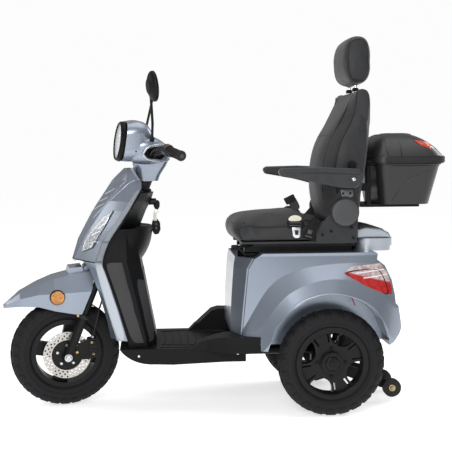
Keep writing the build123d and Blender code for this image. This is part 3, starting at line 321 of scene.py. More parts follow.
@dataclass(frozen=True)
class TailLens(Lens):
    """Red lens whose upper zone is clear, over bright facets whose glints are painted into its colour."""

    split: float = 0.657
    upper: Colour = (0.70, 0.66, 0.66)

    def dress(self, tree: Tree) -> None:
        """Blend the zones by height and add facets, each cell tinted lighter or darker as a painted
        reflection.
        """
        super().dress(tree)
        axes = tree.add("SeparateXYZ")
        tree.join(tree.place, axes, 0)
        slope = tree.add("Math", operation="MULTIPLY_ADD")
        slope.inputs[1].default_value = 0.25
        tree.join(axes.outputs["X"], slope, 0)
        tree.join(axes.outputs["Z"], slope, 2)
        zone = tree.add("MapRange", clamp=True)
        zone.inputs["From Min"].default_value = self.split
        zone.inputs["From Max"].default_value = self.split + 0.006
        tree.join(slope.outputs[0], zone, "Value")
        cells = tree.add("TexVoronoi")
        cells.inputs["Scale"].default_value = 70.0
        tree.join(tree.place, cells, "Vector")
        # facet cells tinted between a darker and the full colour: painted reflections of the facets
        dark = tuple(c * 0.45 for c in self.colour)
        red = tree.tint(cells.outputs["Distance"], dark, self.colour)
        blush = tuple(c * 0.5 for c in self.upper)
        clear = tree.tint(cells.outputs["Distance"], self.upper, (blush[0], blush[1] * 0.55, blush[2] * 0.5))
        mix = tree.add("Mix", data_type="RGBA")
        tree.join(red, mix, "A")
        tree.join(clear, mix, "B")
        tree.join(zone.outputs[0], mix, "Factor")
        tree.join(mix.outputs["Result"], tree.shader, "Base Color")


@dataclass(frozen=True)
class FacetLens(Lens):
    """Clear lens over a bright faceted reflector, the reflector's brightness painted into the lens's colour
    as painted reflection.
    """

    second: Colour = (0.35, 0.37, 0.40)
    cells: float = 55.0

    def dress(self, tree: Tree) -> None:
        """Vary the colour by facets, between the lens's colour and a darker one: painted glints and shade of
        the facets.
        """
        super().dress(tree)
        node = tree.add("TexVoronoi", feature="F1")
        node.inputs["Scale"].default_value = self.cells
        tree.join(tree.place, node, "Vector")
        tree.join(tree.tint(node.outputs["Distance"], self.colour, self.second), tree.shader, "Base Color")
        tree.bump(node.outputs["Distance"], 0.001, 0.5)


class Look(Enum):
    """The finishes of the vehicle."""

    BODY = Paint("body_blue_grey", "body_paint", (0.25, 0.288, 0.350), 0.30)
    # silver of the rear deck, and the pale paint of pieces that are painted highlights: the shield's edge
    # strips, nose ridges and window rims
    TRIM = Paint("silver_trim", "body_paint", (0.42, 0.45, 0.50), 0.34, 700.0, 0.75)
    BLACK_PLASTIC = Plastic("black_grained_plastic", "dark_plastic", (0.006, 0.006, 0.0065), 0.42)
    GREY_PLASTIC = Plastic("grey_plastic", "dark_plastic", (0.050, 0.051, 0.054), 0.42, 600.0, 0.0001, 0.4)
    KNEE_PLASTIC = Plastic(
        "knee_panel_plastic", "dark_plastic", (0.038, 0.038, 0.040), 0.45, 500.0, 0.0001, 0.25
    )
    RIM_PLASTIC = Plastic("rim_plastic", "dark_plastic", (0.035, 0.036, 0.038), 0.4, 600.0, 0.0001)
    BOX_PLASTIC = Plastic("box_plastic", "dark_plastic", (0.011, 0.0112, 0.012), 0.33, 300.0, 0.0001, 0.45)
    FRAME = Enamel("black_frame_enamel", "frame_paint", (0.006, 0.006, 0.0065), 0.36)
    PLATE = Enamel("grey_plate_enamel", "frame_paint", (0.030, 0.031, 0.034), 0.42)
    TYRE = Rubber("tyre_rubber", "tyre", (0.007, 0.007, 0.008), 0.7, (0.026, 0.026, 0.028))
    RUBBER = Rubber("soft_rubber", "rubber", (0.012, 0.012, 0.012), 0.6, (0.045, 0.045, 0.045))
    ALLOY = Enamel("black_cast_alloy", "cast_black", (0.008, 0.008, 0.009), 0.28)
    STEEL = Metal("bright_steel", "steel", (0.62, 0.63, 0.65), 0.28)
    DISC = Metal("disc_steel", "steel", (0.50, 0.48, 0.45), 0.32)
    CHROME = Metal("chrome", "steel", (0.85, 0.86, 0.88), 0.10)
    REFLECTOR = Metal("lamp_reflector", "steel", (0.88, 0.89, 0.91), 0.30, metallic=0.6)
    GUN_METAL = Metal("gun_metal", "steel", (0.15, 0.155, 0.16), 0.38)
    BRASS = Metal("brass", "steel", (0.55, 0.40, 0.18), 0.35)
    VINYL = Vinyl("black_vinyl", "seat_fabric", (0.018, 0.0185, 0.020), 0.5)
    # dark seams and welts, and the dark block in the cowl's windows, which is painted shade
    SEAM = Vinyl("seam_vinyl", "seat_fabric", (0.007, 0.007, 0.008), 0.6)
    ARM_PAD = Vinyl("arm_pad_vinyl", "arm_pad", (0.024, 0.025, 0.028), 0.45)
    WEB = Vinyl("woven_belt_web", "belt_web", (0.012, 0.012, 0.013), 0.7, 900.0)
    SPRING = Enamel("red_spring_enamel", "spring_red", (0.40, 0.015, 0.012), 0.35)
    # glows a little on every piece it is given, also the lid's reflectors, which are no lamps: painted light
    RED = Lens("red_lens", "red_lens", (0.55, 0.012, 0.014), 0.12, 0.15)
    TAIL = TailLens("tail_lens", "red_lens", (0.60, 0.012, 0.014), 0.10, 0.1)
    CLEAR = Lens("clear_lamp_plastic", "clear_lens", (0.93, 0.95, 0.97), 0.08, 0.35, 0.12)
    # pale colour stands for the bright reflector seen through the marker lens: painted reflection
    MARKER = FacetLens(
        "marker_lens", "clear_lens", (0.66, 0.68, 0.71), 0.10, 0.1, 0.0, (0.16, 0.17, 0.19), 75.0
    )
    AMBER = FacetLens(
        "faceted_amber_lens", "amber_lens", (0.62, 0.27, 0.03), 0.15, 0.0, 0.0, (0.26, 0.07, 0.0), 95.0
    )
    CREAM = Plastic("cream_plastic", "clear_lens", (0.62, 0.58, 0.50), 0.45, 300.0, 0.0001)

    def paint(self, *pieces: bpy.types.Object) -> None:
        """Give the finish to pieces."""
        for piece in pieces:
            piece.data.materials.clear()
            piece.data.materials.append(self.value.build())


# ---------------------------------------------------------------- bench
def mm(points: Iterable[Point]) -> list[tuple[float, ...]]:
    """Points in metres from points in millimetres."""
    return [tuple(value / 1000 for value in point) for point in points]


def beside(points: Iterable[Point], y: float) -> list[Vector]:
    """Points in metres from x and z in millimetres, all y millimetres to one side."""
    return [Vector((x, y, z)) / 1000 for x, z in points]


class Bench:
    """The modelling bench: Blender's operators under short names."""

    @staticmethod
    def clear() -> None:
        """Leave edit mode with nothing selected."""
        if bpy.context.object and bpy.context.object.mode != "OBJECT":
            bpy.ops.object.mode_set(mode="OBJECT")
        bpy.ops.object.select_all(action="DESELECT")

    @staticmethod
    def pick(*pieces: bpy.types.Object) -> None:
        """Select pieces, the first one active."""
        Bench.clear()
        for piece in pieces:
            piece.select_set(True)
        bpy.context.view_layer.objects.active = pieces[0]

    @staticmethod
    def take(name: str) -> bpy.types.Object:
        """Name the piece just added."""
        piece = bpy.context.object
        piece.name = name
        piece.data.name = name
        return piece

    @staticmethod
    def edit(piece: bpy.types.Object) -> None:
        """Go to edit mode with the whole piece selected."""
        Bench.pick(piece)
        bpy.ops.object.mode_set(mode="EDIT")
        bpy.ops.mesh.select_all(action="SELECT")

    @staticmethod
    def modify(piece: bpy.types.Object, kind: str, **values: object) -> bpy.types.Object:
        """Add a modifier and apply it.

        Args:
            piece: The piece to change.
            kind: The modifier's type.
            **values: Attributes of the modifier.

        Returns:
            The piece.
        """
        modifier = piece.modifiers.new(kind.lower(), kind)
        for key, value in values.items():
            setattr(modifier, key, value)
        Bench.pick(piece)
        bpy.ops.object.modifier_apply(modifier=modifier.name)
        return piece

    @staticmethod
    def place(piece: bpy.types.Object, matrix: Matrix) -> bpy.types.Object:
        """Move a piece's mesh by a matrix, leaving the object at the origin."""
        piece.matrix_world = matrix @ piece.matrix_world
        Bench.pick(piece)
        bpy.ops.object.transform_apply(location=True, rotation=True, scale=True)
        return piece

    @staticmethod
    def smooth(piece: bpy.types.Object, angle: float = 35.0) -> bpy.types.Object:
        """Shade a piece smooth, except across edges sharper than an angle in degrees."""
        Bench.pick(piece)
        bpy.ops.object.shade_smooth_by_angle(angle=math.radians(angle))
        return piece

    @staticmethod
    def tidy(piece: bpy.types.Object, gap: float = 0.00002) -> bpy.types.Object:
        """Merge doubled points and turn the faces outwards."""
        Bench.edit(piece)
        bpy.ops.mesh.remove_doubles(threshold=gap)
        bpy.ops.mesh.normals_make_consistent(inside=False)
        bpy.ops.object.mode_set(mode="OBJECT")
        return piece

    @staticmethod
    def soften(piece: bpy.types.Object, width: float, segments: int = 3) -> bpy.types.Object:
        """Round a piece's sharp edges."""
        return Bench.modify(
            piece, "BEVEL", width=width, segments=segments, limit_method="ANGLE", angle_limit=math.radians(32)
        )

    @staticmethod
    def ring(points: Sequence[Point], filled: bool = True) -> bpy.types.Object:
        """A flat ring of points, with or without a face."""
        Bench.clear()
        bpy.ops.mesh.primitive_circle_add(
            vertices=len(points), radius=1, fill_type="NGON" if filled else "NOTHING"
        )
        piece = bpy.context.object
        for vertex, point in zip(piece.data.vertices, points):
            vertex.co = point
        return piece

    @staticmethod
    def prism(
        name: str, outline: Sequence[Point], low: float, high: float, axis: str = "Y", bevel: float = 0.0
    ) -> bpy.types.Object:
        """A plate or block of one outline between two planes.

        Args:
            name: The piece's name.
            outline: Corners in the plane, in axis order.
            low: Where it starts along the axis.
            high: Where it ends along the axis.
            axis: The letter of the axis it is drawn along.
            bevel: Width of its rounded edges.

        Returns:
            The new piece.
        """
        order = {"X": lambda a, b: (low, a, b), "Y": lambda a, b: (a, low, b), "Z": lambda a, b: (a, b, low)}
        Bench.ring([order[axis](*corner) for corner in outline])
        piece = Bench.take(name)
        Bench.edit(piece)
        step = [0.0, 0.0, 0.0]
        step["XYZ".index(axis)] = high - low
        bpy.ops.mesh.extrude_region_move(TRANSFORM_OT_translate={"value": step})
        bpy.ops.object.mode_set(mode="OBJECT")
        Bench.tidy(piece)
        if bevel:
            Bench.soften(piece, bevel)
        return Bench.smooth(piece)

    @staticmethod
    def spin(
        name: str,
        profile: Sequence[Point],
        centre: Point,
        axis: Point = (0, 1, 0),
        steps: int = 48,
        closed: bool = False,
    ) -> bpy.types.Object:
        """A turned piece.

        Args:
            name: The piece's name.
            profile: Points as distance along the axis and out from it.
            centre: A point on the axis.
            axis: The axis's direction.
            steps: Number of facets around.
            closed: Whether the profile's last point joins its first.

        Returns:
            The new piece.
        """
        centre = Vector(centre)
        along = Vector(axis).normalized()
        helper = Vector((0, 0, 1)) if abs(along.z) < 0.9 else Vector((1, 0, 0))
        out = along.cross(helper).normalized()
        Bench.ring([centre + along * a + out * r for a, r in profile], filled=False)
        piece = Bench.take(name)
        if not closed:
            piece.data.vertices.foreach_set("select", [False] * len(profile))
            piece.data.edges.foreach_set("select", [False] * len(profile))
            last = {0, len(profile) - 1}
            for edge in piece.data.edges:
                edge.select = set(edge.vertices) == last
            bpy.ops.object.mode_set(mode="EDIT")
            bpy.ops.mesh.select_mode(type="EDGE")
            bpy.ops.mesh.delete(type="EDGE")
            bpy.ops.mesh.select_mode(type="VERT")
            bpy.ops.object.mode_set(mode="OBJECT")
        Bench.edit(piece)
        bpy.ops.mesh.spin(steps=steps, angle=math.tau, center=centre, axis=along)
        bpy.ops.object.mode_set(mode="OBJECT")
        return Bench.smooth(Bench.tidy(piece))

    @staticmethod
    def sheet(
        name: str, rows: Sequence[Sequence[Point]], thickness: float, rounds: int = 1
    ) -> bpy.types.Object:
        """A curved sheet through rows of points.

        Args:
            name: The piece's name.
            rows: Rows of points of equal length.
            thickness: Its wall.
            rounds: Levels of subdivision.

        Returns:
            The new piece.
        """
        Bench.clear()
        bpy.ops.mesh.primitive_grid_add(x_subdivisions=len(rows[0]) - 1, y_subdivisions=len(rows) - 1)
        piece = Bench.take(name)
        for vertex, point in zip(piece.data.vertices, [p for row in rows for p in row]):
            vertex.co = point
        if rounds:
            Bench.modify(piece, "SUBSURF", levels=rounds, render_levels=rounds)
        Bench.modify(piece, "SOLIDIFY", thickness=thickness, offset=0.0)
        return Bench.smooth(Bench.tidy(piece), 50)

    @staticmethod
    def pipe(
        name: str, points: Sequence[Point], radius: float, cyclic: bool = False, sides: int = 3
    ) -> bpy.types.Object:
        """A round bar or welt along a smooth line.

        Args:
            name: The piece's name.
            points: Control points of its middle line.
            radius: Its radius.
            cyclic: Whether it closes on itself.
            sides: Resolution of its section.

        Returns:
            The new piece.
        """
        Bench.clear()
        bpy.ops.curve.primitive_nurbs_path_add()
        piece = Bench.take(name)
        curve = piece.data
        curve.splines.clear()
        spline = curve.splines.new("NURBS")
        spline.points.add(len(points) - 1)
        for target, point in zip(spline.points, points):
            target.co = (*point, 1)
        spline.use_cyclic_u = cyclic
        spline.order_u = 3
        spline.use_endpoint_u = not cyclic
        spline.resolution_u = 6
        curve.bevel_depth = radius
        curve.bevel_resolution = sides
        curve.use_fill_caps = True
        bpy.ops.object.convert(target="MESH")
        return Bench.smooth(Bench.tidy(bpy.context.object), 60)

    @staticmethod
    def copy(piece: bpy.types.Object, name: str, matrix: Optional[Matrix] = None) -> bpy.types.Object:
        """A copy with its own mesh, moved by a matrix."""
        Bench.pick(piece)
        bpy.ops.object.duplicate()
        twin = Bench.take(name)
        return Bench.place(twin, matrix) if matrix else twin

    @staticmethod
    def mirror(piece: bpy.types.Object, name: str) -> bpy.types.Object:
        """The same piece on the other side."""
        return Bench.smooth(Bench.tidy(Bench.copy(piece, name, Matrix.Scale(-1, 4, (0, 1, 0)))), 50)

    @staticmethod
    def round_about(piece: bpy.types.Object, centre: Point, axis: str, count: int) -> bpy.types.Object:
        """Repeat a piece evenly around an axis and join the copies.

        Args:
            piece: The first of the copies.
            centre: A point on the axis.
            axis: The axis's letter.
            count: How many there are in all.

        Returns:
            The joined piece.
        """
        middle = Matrix.Translation(centre)
        copies = [piece]
        for i in range(1, count):
            turn = middle @ Matrix.Rotation(i * math.tau / count, 4, axis) @ middle.inverted()
            copies.append(Bench.copy(piece, f"{piece.name}_{i}", turn))
        return Bench.join(*copies)

    @staticmethod
    def join(*pieces: bpy.types.Object) -> bpy.types.Object:
        """Join pieces into the first one."""
        Bench.pick(*pieces)
        bpy.ops.object.join()
        return bpy.context.object

    @staticmethod
    def cut(piece: bpy.types.Object, tool: bpy.types.Object) -> bpy.types.Object:
        """Cut a tool's volume out of a piece and remove the tool."""
        Bench.modify(piece, "BOOLEAN", object=tool, operation="DIFFERENCE", solver="EXACT")
        bpy.data.objects.remove(tool)
        return piece

    @staticmethod
    def onto(target: bpy.types.Object, points: Iterable[Point], lift: float) -> list[Vector]:
        """Points moved to the nearest place on a piece's surface, lifted off it."""
        moved = []
        for point in points:
            _, place, normal, _ = target.closest_point_on_mesh(Vector(point))
            moved.append(place + normal * lift)
        return moved

    @staticmethod
    def cast(
        target: bpy.types.Object, points: Iterable[Point], lift: float = 0.0, way: Point = (0, 1, 0)
    ) -> list[Vector]:
        """Points thrown onto a surface along one direction, lifted back off it.

        Args:
            target: The piece they land on.
            points: Where they pass.
            lift: How far off the surface they stop.
            way: The direction they are thrown in.

        Returns:
            Where they land, or the nearest place for those that miss.
        """
        way = Vector(way).normalized()
        landed = []
        for point in points:
            hit, place, _, _ = target.ray_cast(Vector(point) - way * 0.5, way)
            if not hit:
                place = target.closest_point_on_mesh(Vector(point))[1]
            landed.append(place - way * lift)
        return landed

    @staticmethod
    def screw(
        name: str, place: Point, axis: Point, radius: float, height: float, sides: int = 6
    ) -> bpy.types.Object:
        """A screw or nut head standing on a surface, with a recess in its top.

        Args:
            name: The piece's name.
            place: The middle of its foot.
            axis: The way it points.
            radius: Its radius.
            height: How far it stands out.
            sides: 6 for a hexagon, more for a round head.

        Returns:
            The new piece.
        """
        sunk = -0.4 * height
        head = [(sunk, 0), (sunk, radius), (0.75 * height, radius), (height, 0.8 * radius)]
        head += [(height, 0.45 * radius), (0.6 * height, 0.4 * radius), (0.6 * height, 0)]
        return Bench.smooth(Bench.spin(name, head, place, axis, sides), 30)


def fit(piece: bpy.types.Object, look: Look, body: str, *replaced: str) -> bpy.types.Object:
    """Finish a new piece, hang it on its body and hide the solids it stands for.

    Args:
        piece: The new piece.
        look: Its finish.
        body: The body it moves with.
        *replaced: Solids that it stands for.

    Returns:
        The piece.
    """
    look.paint(piece)
    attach(piece, body)
    if replaced:
        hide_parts(*replaced)
    return piece


def fit_pair(left: bpy.types.Object, look: Look, body: str) -> None:
    """Fit a piece of the left side, and its mirror image on the right."""
    fit(left, look, body)
    fit(Bench.mirror(left, left.name.replace("_left", "_right")), look, body)


@dataclass(frozen=True)
class Steering:
    """The tilted steering axis and how far the bars are turned."""

    foot: Point = (-0.601495, 0.0, 0.198372)
    tilt: float = math.radians(22.0)
    turn: float = math.radians(12.6)
    fork_offset: float = 0.048

    def matrix(self) -> Matrix:
        """The turn about the steering axis."""
        axis = Vector((math.sin(self.tilt), 0, math.cos(self.tilt)))
        middle = Matrix.Translation(self.foot)
        return middle @ Matrix.Rotation(self.turn, 4, axis) @ middle.inverted()

    def at(self, x: float, y: float, height: float) -> Vector:
        """A point given back from, beside and along the axis, before the turn."""
        back = Vector((math.cos(self.tilt), 0, -math.sin(self.tilt)))
        axis = Vector((math.sin(self.tilt), 0, math.cos(self.tilt)))
        return Vector(self.foot) + back * x + Vector((0, y, 0)) + axis * height

    def turned(self, way: Point) -> Vector:
        """A direction after the turn."""
        return self.matrix().to_3x3() @ Vector(way)

    @property
    def axle(self) -> Vector:
        """The front wheel's centre before the turn."""
        return self.at(-self.fork_offset, 0, 0)

    def steer(self, piece: bpy.types.Object) -> bpy.types.Object:
        """Turn a piece with the bars."""
        return Bench.place(piece, self.matrix())


STEERING = Steering()


# ---------------------------------------------------------------- wheels
@dataclass(frozen=True)
class TreadPattern:
    """One pitch of a tread: block outlines along and across the tyre, in millimetres."""

    pitches: int
    blocks: tuple[tuple[Point, ...], ...]
    depth: float = 0.007


class Tread(Enum):
    """The tyres' treads."""

    ROAD = TreadPattern(
        30,
        (
            ((-16, 3), (12, 1), (19, 12), (-9, 15)),
            ((-7, 20), (21, 17), (30, 38), (27, 60), (3, 60), (1, 40)),
        ),
    )
    LUG = TreadPattern(
        24,
        (
            ((-20, 2), (14, 2), (20, 13), (-14, 15)),
            ((-12, 21), (22, 18), (27, 34), (24, 61), (-3, 61), (-6, 36)),
        ),
        0.008,
    )


@dataclass
class Tyre:
    """A tyre: turned carcass with ribs, and tread blocks laid over its crown."""

    node: str
    body: str
    centre: Vector
    radius: float
    tread: Tread
    steered: bool = False
    half_width: float = 0.043
    crown_depth: float = 0.045
    fullness: float = 0.75
    bead: float = 0.12705

    def carcass(self) -> bpy.types.Object:
        """Turn the tyre's body."""
        low = self.radius * 1000
        half = [(0, low - 7), (14, low - 7.6), (25, low - 11), (34, low - 18.5), (38.6, low - 28)]
        half += [(41, low - 38), (42.4, low - 46), (42.8, low - 50), (44.4, low - 50.6), (44.4, low - 52.4)]
        half += [(42.6, low - 53.2), (41.6, low - 58), (39.6, 149.5), (40.4, 148.4), (39, 147)]
        half += [(33, 140.5), (29.5, 139), (29.5, self.bead * 1000)]
        left = [(-along, out) for along, out in reversed(half[1:])]
        return Bench.spin(f"{self.node}_carcass", mm(left + half), self.centre, steps=96, closed=True)

    def lay(self, point: Vector) -> Vector:
        """Lay a flat block's point over the crown.

        Args:
            point: Distance along the tread, across it, and out from its surface.

        Returns:
            The point on the tyre.
        """
        side = point.y / self.crown_depth
        across = self.half_width * math.sin(side) + point.z * math.sin(side)
        out = self.radius - self.crown_depth + self.crown_depth * max(math.cos(side), 0.0) ** self.fullness
        out += point.z * math.cos(side)
        turn = point.x / self.radius
        return self.centre + Vector((out * math.sin(turn), across, out * math.cos(turn)))

    def blocks(self) -> list[bpy.types.Object]:
        """Make one pitch of the tread on both sides, and repeat it around the tyre."""
        pattern = self.tread.value
        rows = []
        pitch = math.tau * self.radius / pattern.pitches
        for i, outline in enumerate(pattern.blocks):
            for side in (-1, 1):
                shift = pitch / 2 if side > 0 else 0.0
                corners = [(x / 1000 + shift, side * y / 1000) for x, y in outline]
                name = f"{self.node}_block_{i}_{side + 1}"
                block = Bench.prism(name, corners, -pattern.depth - 0.002, 0.0, "Z", 0.0012)
                Bench.edit(block)
                bpy.ops.mesh.bisect(plane_co=(0, side * 0.030, 0), plane_no=(0, 1, 0))
                bpy.ops.mesh.select_all(action="SELECT")
                bpy.ops.mesh.bisect(plane_co=(0, side * 0.048, 0), plane_no=(0, 1, 0))
                bpy.ops.object.mode_set(mode="OBJECT")
                for vertex in block.data.vertices:
                    vertex.co = self.lay(vertex.co)
                Bench.tidy(block)
                rows.append(Bench.round_about(block, self.centre, "Y", pattern.pitches))
        return rows

    def build(self) -> None:
        """Build the tyre and hang it on its wheel."""
        tyre = Bench.join(self.carcass(), *self.blocks())
        tyre.name = f"{self.node}_treaded"
        Bench.smooth(tyre, 32)
        if self.steered:
            STEERING.steer(tyre)
        fit(tyre, Look.TYRE, self.body, self.node)
        log.info("%s built", tyre.name)


@dataclass
class Wheels:
    """The three tyres, the hub caps and bolts, and the front brake's disc."""

    rear_axle: tuple[float, float] = (0.380, 0.2055)
    half_track: float = 0.270
    front_radius: float = 0.2165
    rear_radius: float = 0.2055
    hub_face: float = 0.302
    cap_radius: float = 0.029
    bolt_circle: float = 0.054
    web_face: float = 0.282
    bolts: int = 4

    def build(self) -> None:
        """Build and dress the wheels."""
        Tyre("front_tyre", "front_wheel", STEERING.axle, self.front_radius, Tread.ROAD, True).build()
        for side, name in SIDES:
            centre = Vector((self.rear_axle[0], side * self.half_track, self.rear_axle[1]))
            Tyre(f"rear_tyre_{name}", f"rear_wheel_{name}", centre, self.rear_radius, Tread.LUG).build()
            self.hub(side, name)
        self.disc()
        self.front_hub()
        self.casters()

    def hub(self, side: int, name: str) -> None:
        """Cap and bolts of a rear wheel."""
        body = f"rear_wheel_{name}"
        middle = Vector((self.rear_axle[0], side * self.hub_face, self.rear_axle[1]))
        out = (0, side, 0)
        collar = [(-0.004, 0.0395), (0.001, 0.0395), (0.003, 0.037), (0.003, 0.030), (-0.004, 0.030)]
        fit(Bench.spin(f"hub_collar_{name}", collar, middle, out, 40, True), Look.ALLOY, body)
        cap = Bench.screw(f"hub_cap_{name}", middle, out, self.cap_radius, 0.009)
        fit(Bench.soften(cap, 0.0012, 2), Look.ALLOY, body)
        seat = Vector((self.rear_axle[0], side * self.web_face, self.rear_axle[1]))
        spot = seat + Vector((0, 0, self.bolt_circle))
        first = Bench.screw(f"wheel_bolts_{name}", spot, out, 0.0075, 0.008)
        fit(Bench.round_about(first, seat, "Y", self.bolts), Look.ALLOY, body)
        rib = [(-0.003, 0.1165), (0.002, 0.1185), (0.0035, 0.1215), (0.0035, 0.1245), (-0.003, 0.1245)]
        edge = Vector((self.rear_axle[0], side * (self.half_track + 0.0325), self.rear_axle[1]))
        fit(Bench.spin(f"rim_edge_{name}", rib, edge, out, 96, True), Look.ALLOY, body)
        stem = Bench.spin(
            f"valve_{name}",
            mm([(-8, 0), (-8, 3), (10, 3), (14, 2.4), (22, 2.4), (22, 0)]),
            edge + Vector((0.077, -side * 0.018, 0.077)),
            (0.35, side, 0.35),
            12,
        )
        fit(stem, Look.RUBBER, body)

    def disc(self) -> None:
        """The drilled brake disc on its dark carrier."""
        near, far, hole = -0.0560, -0.0520, 0.0036
        centre = STEERING.axle
        ring = mm([(near * 1000, 61), (near * 1000, 94), (far * 1000, 94), (far * 1000, 61)])
        disc = Bench.spin("drilled_disc", ring, centre, steps=96, closed=True)
        drills = []
        for row, (out, count, turn) in enumerate(((0.088, 24, 0.0), (0.078, 24, 0.5), (0.069, 24, 1.0))):
            angle = turn * math.tau / count
            spot = centre + Vector((out * math.sin(angle), -0.062, out * math.cos(angle)))
            drill = Bench.spin(f"drill_{row}", [(0, 0), (0, hole), (0.02, hole), (0.02, 0)], spot, steps=10)
            drills.append(Bench.round_about(drill, centre, "Y", count))
        disc = Bench.cut(disc, Bench.join(*drills))
        fit(STEERING.steer(Bench.smooth(disc, 30)), Look.DISC, "front_wheel", "brake_disc")
        plate = mm([(-54.5, 14), (-54.5, 52), (-52.5, 62.5), (-44, 62.5), (-44, 14)])
        carrier = Bench.spin("disc_carrier", plate, centre, steps=64, closed=True)
        fit(STEERING.steer(carrier), Look.ALLOY, "front_wheel")
        head = Bench.screw("disc_bolts", centre + Vector((0, -0.0545, 0.040)), (0, -1, 0), 0.0065, 0.005)
        fit(STEERING.steer(Bench.round_about(head, centre, "Y", 5)), Look.STEEL, "front_wheel")

    def front_hub(self) -> None:
        """Axle nuts on both sides of the fork."""
        for side, name in SIDES:
            foot = STEERING.axle + Vector((0, side * 0.0985, 0))
            nut = Bench.screw(f"axle_nut_{name}", foot, (0, side, 0), 0.0125, 0.009)
            washer = Bench.spin(
                f"axle_washer_{name}", mm([(-1, 0), (-1, 15), (1, 15), (1, 0)]), foot, (0, side, 0), 32
            )
            fit(STEERING.steer(Bench.join(nut, washer)), Look.STEEL, "steering")

    def casters(self) -> None:
        """Brass-coloured hubs of the two small rear wheels."""
        for side, name in SIDES:
            middle = (0.665, side * 0.091, 0.052)
            hub = Bench.spin(
                f"caster_hub_{name}", mm([(-3, 0), (-3, 13), (0.5, 13), (1.2, 11), (0, 8), (0, 0)]), middle,
                (0, side, 0), 32,
            )
            fit(hub, Look.BRASS, "casters")
            nut = Bench.screw(f"caster_nut_{name}", middle, (0, side, 0), 0.006, 0.005)
            fit(nut, Look.STEEL, "casters")
        log.info("hubs, disc and casters dressed")


# ---------------------------------------------------------------- front end
@dataclass
class Fork:
    """Small parts on the fork: calliper cover and bolts, hose joint, lamp rings and dust seals."""

    nodes: dict[str, bpy.types.Object]

    def build(self) -> None:
        """Build and dress the fork."""
        self.calliper()
        self.lamps()
        self.sliders()
        log.info("fork dressed")

    def calliper(self) -> None:
        """Bolts and ribbed cover on the calliper, and the hose's joint and bracket."""
        spots = ((-552, 268, 6.0), (-545, 222, 6.0), (-614, 262, 7.0), (-610, 232, 6.5))
        heads = []
        for i, (x, z, radius) in enumerate(spots):
            spot = STEERING.matrix() @ Vector((x / 1000, -0.0758, z / 1000))
            out = STEERING.turned((0, -1, 0))
            heads.append(Bench.screw(f"calliper_bolt_{i}", spot, out, radius / 1000, 0.006))
        fit(Bench.join(*heads), Look.BRASS, "steering")
        outline = mm([(-560, 274), (-534, 274), (-532, 214), (-556, 208), (-566, 240)])
        cover = Bench.prism("calliper_cover", outline, -0.080, -0.074, "Y", 0.002)
        ribs = []
        for i, z in enumerate((222, 238, 254)):
            outline = mm([(-561, z), (-533, z), (-533, z + 4), (-561, z + 4)])
            ribs.append(Bench.prism(f"calliper_rib_{i}", outline, -0.0825, -0.078, "Y", 0.0012))
        fit(STEERING.steer(Bench.join(cover, *ribs)), Look.ALLOY, "steering")
        banjo = mm([(-7, 0), (-7, 4.5), (-4, 7.5), (4, 7.5), (7, 4.5), (7, 0)])
        banjo = Bench.spin("hose_joint", banjo, (-0.546, -0.058, 0.284), (0, 1, 0), 20)
        fit(STEERING.steer(banjo), Look.STEEL, "steering")
        bends = ((-590, 366), (-578, 394), (-556, 409), (-523, 408))
        rows = [mm([(x, -88, z), (x, -80, z - 1)]) for x, z in bends]
        fit(Bench.sheet("hose_bracket", rows, 0.004), Look.CREAM, "steering")
        clip = mm([(-4, 0), (-4, 6), (3, 6), (4, 4), (4, 0)])
        clip = Bench.spin("bracket_screw", clip, (-0.586, -0.084, 0.372), (0, 1, 0), 20)
        fit(clip, Look.BRASS, "steering")

    def lamps(self) -> None:
        """Black rings round the amber lamps, from the fender's skin to the lamps' faces."""
        fender = self.nodes["front_fender"]
        lamp = self.nodes["fender_lamps"]
        for side, name in SIDES:
            centre = STEERING.matrix() @ Vector((-0.685, side * 0.110, 0.462))
            _, face, _, _ = lamp.closest_point_on_mesh(centre)
            _, skin, _, _ = fender.closest_point_on_mesh(centre)
            out = STEERING.turned((0, side, 0))
            middle = face - out * (face - skin).dot(out) * 0.5
            ring = mm([(-5, 25.5), (4, 25.5), (6, 26.5), (6, 28), (3, 29.5), (-5, 29.5)])
            ring = Bench.spin(f"fender_lamp_ring_{name}", ring, middle, out, 48, True)
            fit(ring, Look.BLACK_PLASTIC, "steering")

    def sliders(self) -> None:
        """Dust seals on the fork legs."""
        for side, name in SIDES:
            foot = STEERING.at(-STEERING.fork_offset, side * 0.090, 0.170)
            axis = STEERING.at(0, 0, 1) - STEERING.at(0, 0, 0)
            seal = mm([(-4, 0), (-4, 20), (2, 21), (6, 19), (10, 17.5), (10, 0)])
            piece = Bench.spin(f"dust_seal_{name}", seal, foot, axis, 32)
            fit(STEERING.steer(piece), Look.RUBBER, "steering")


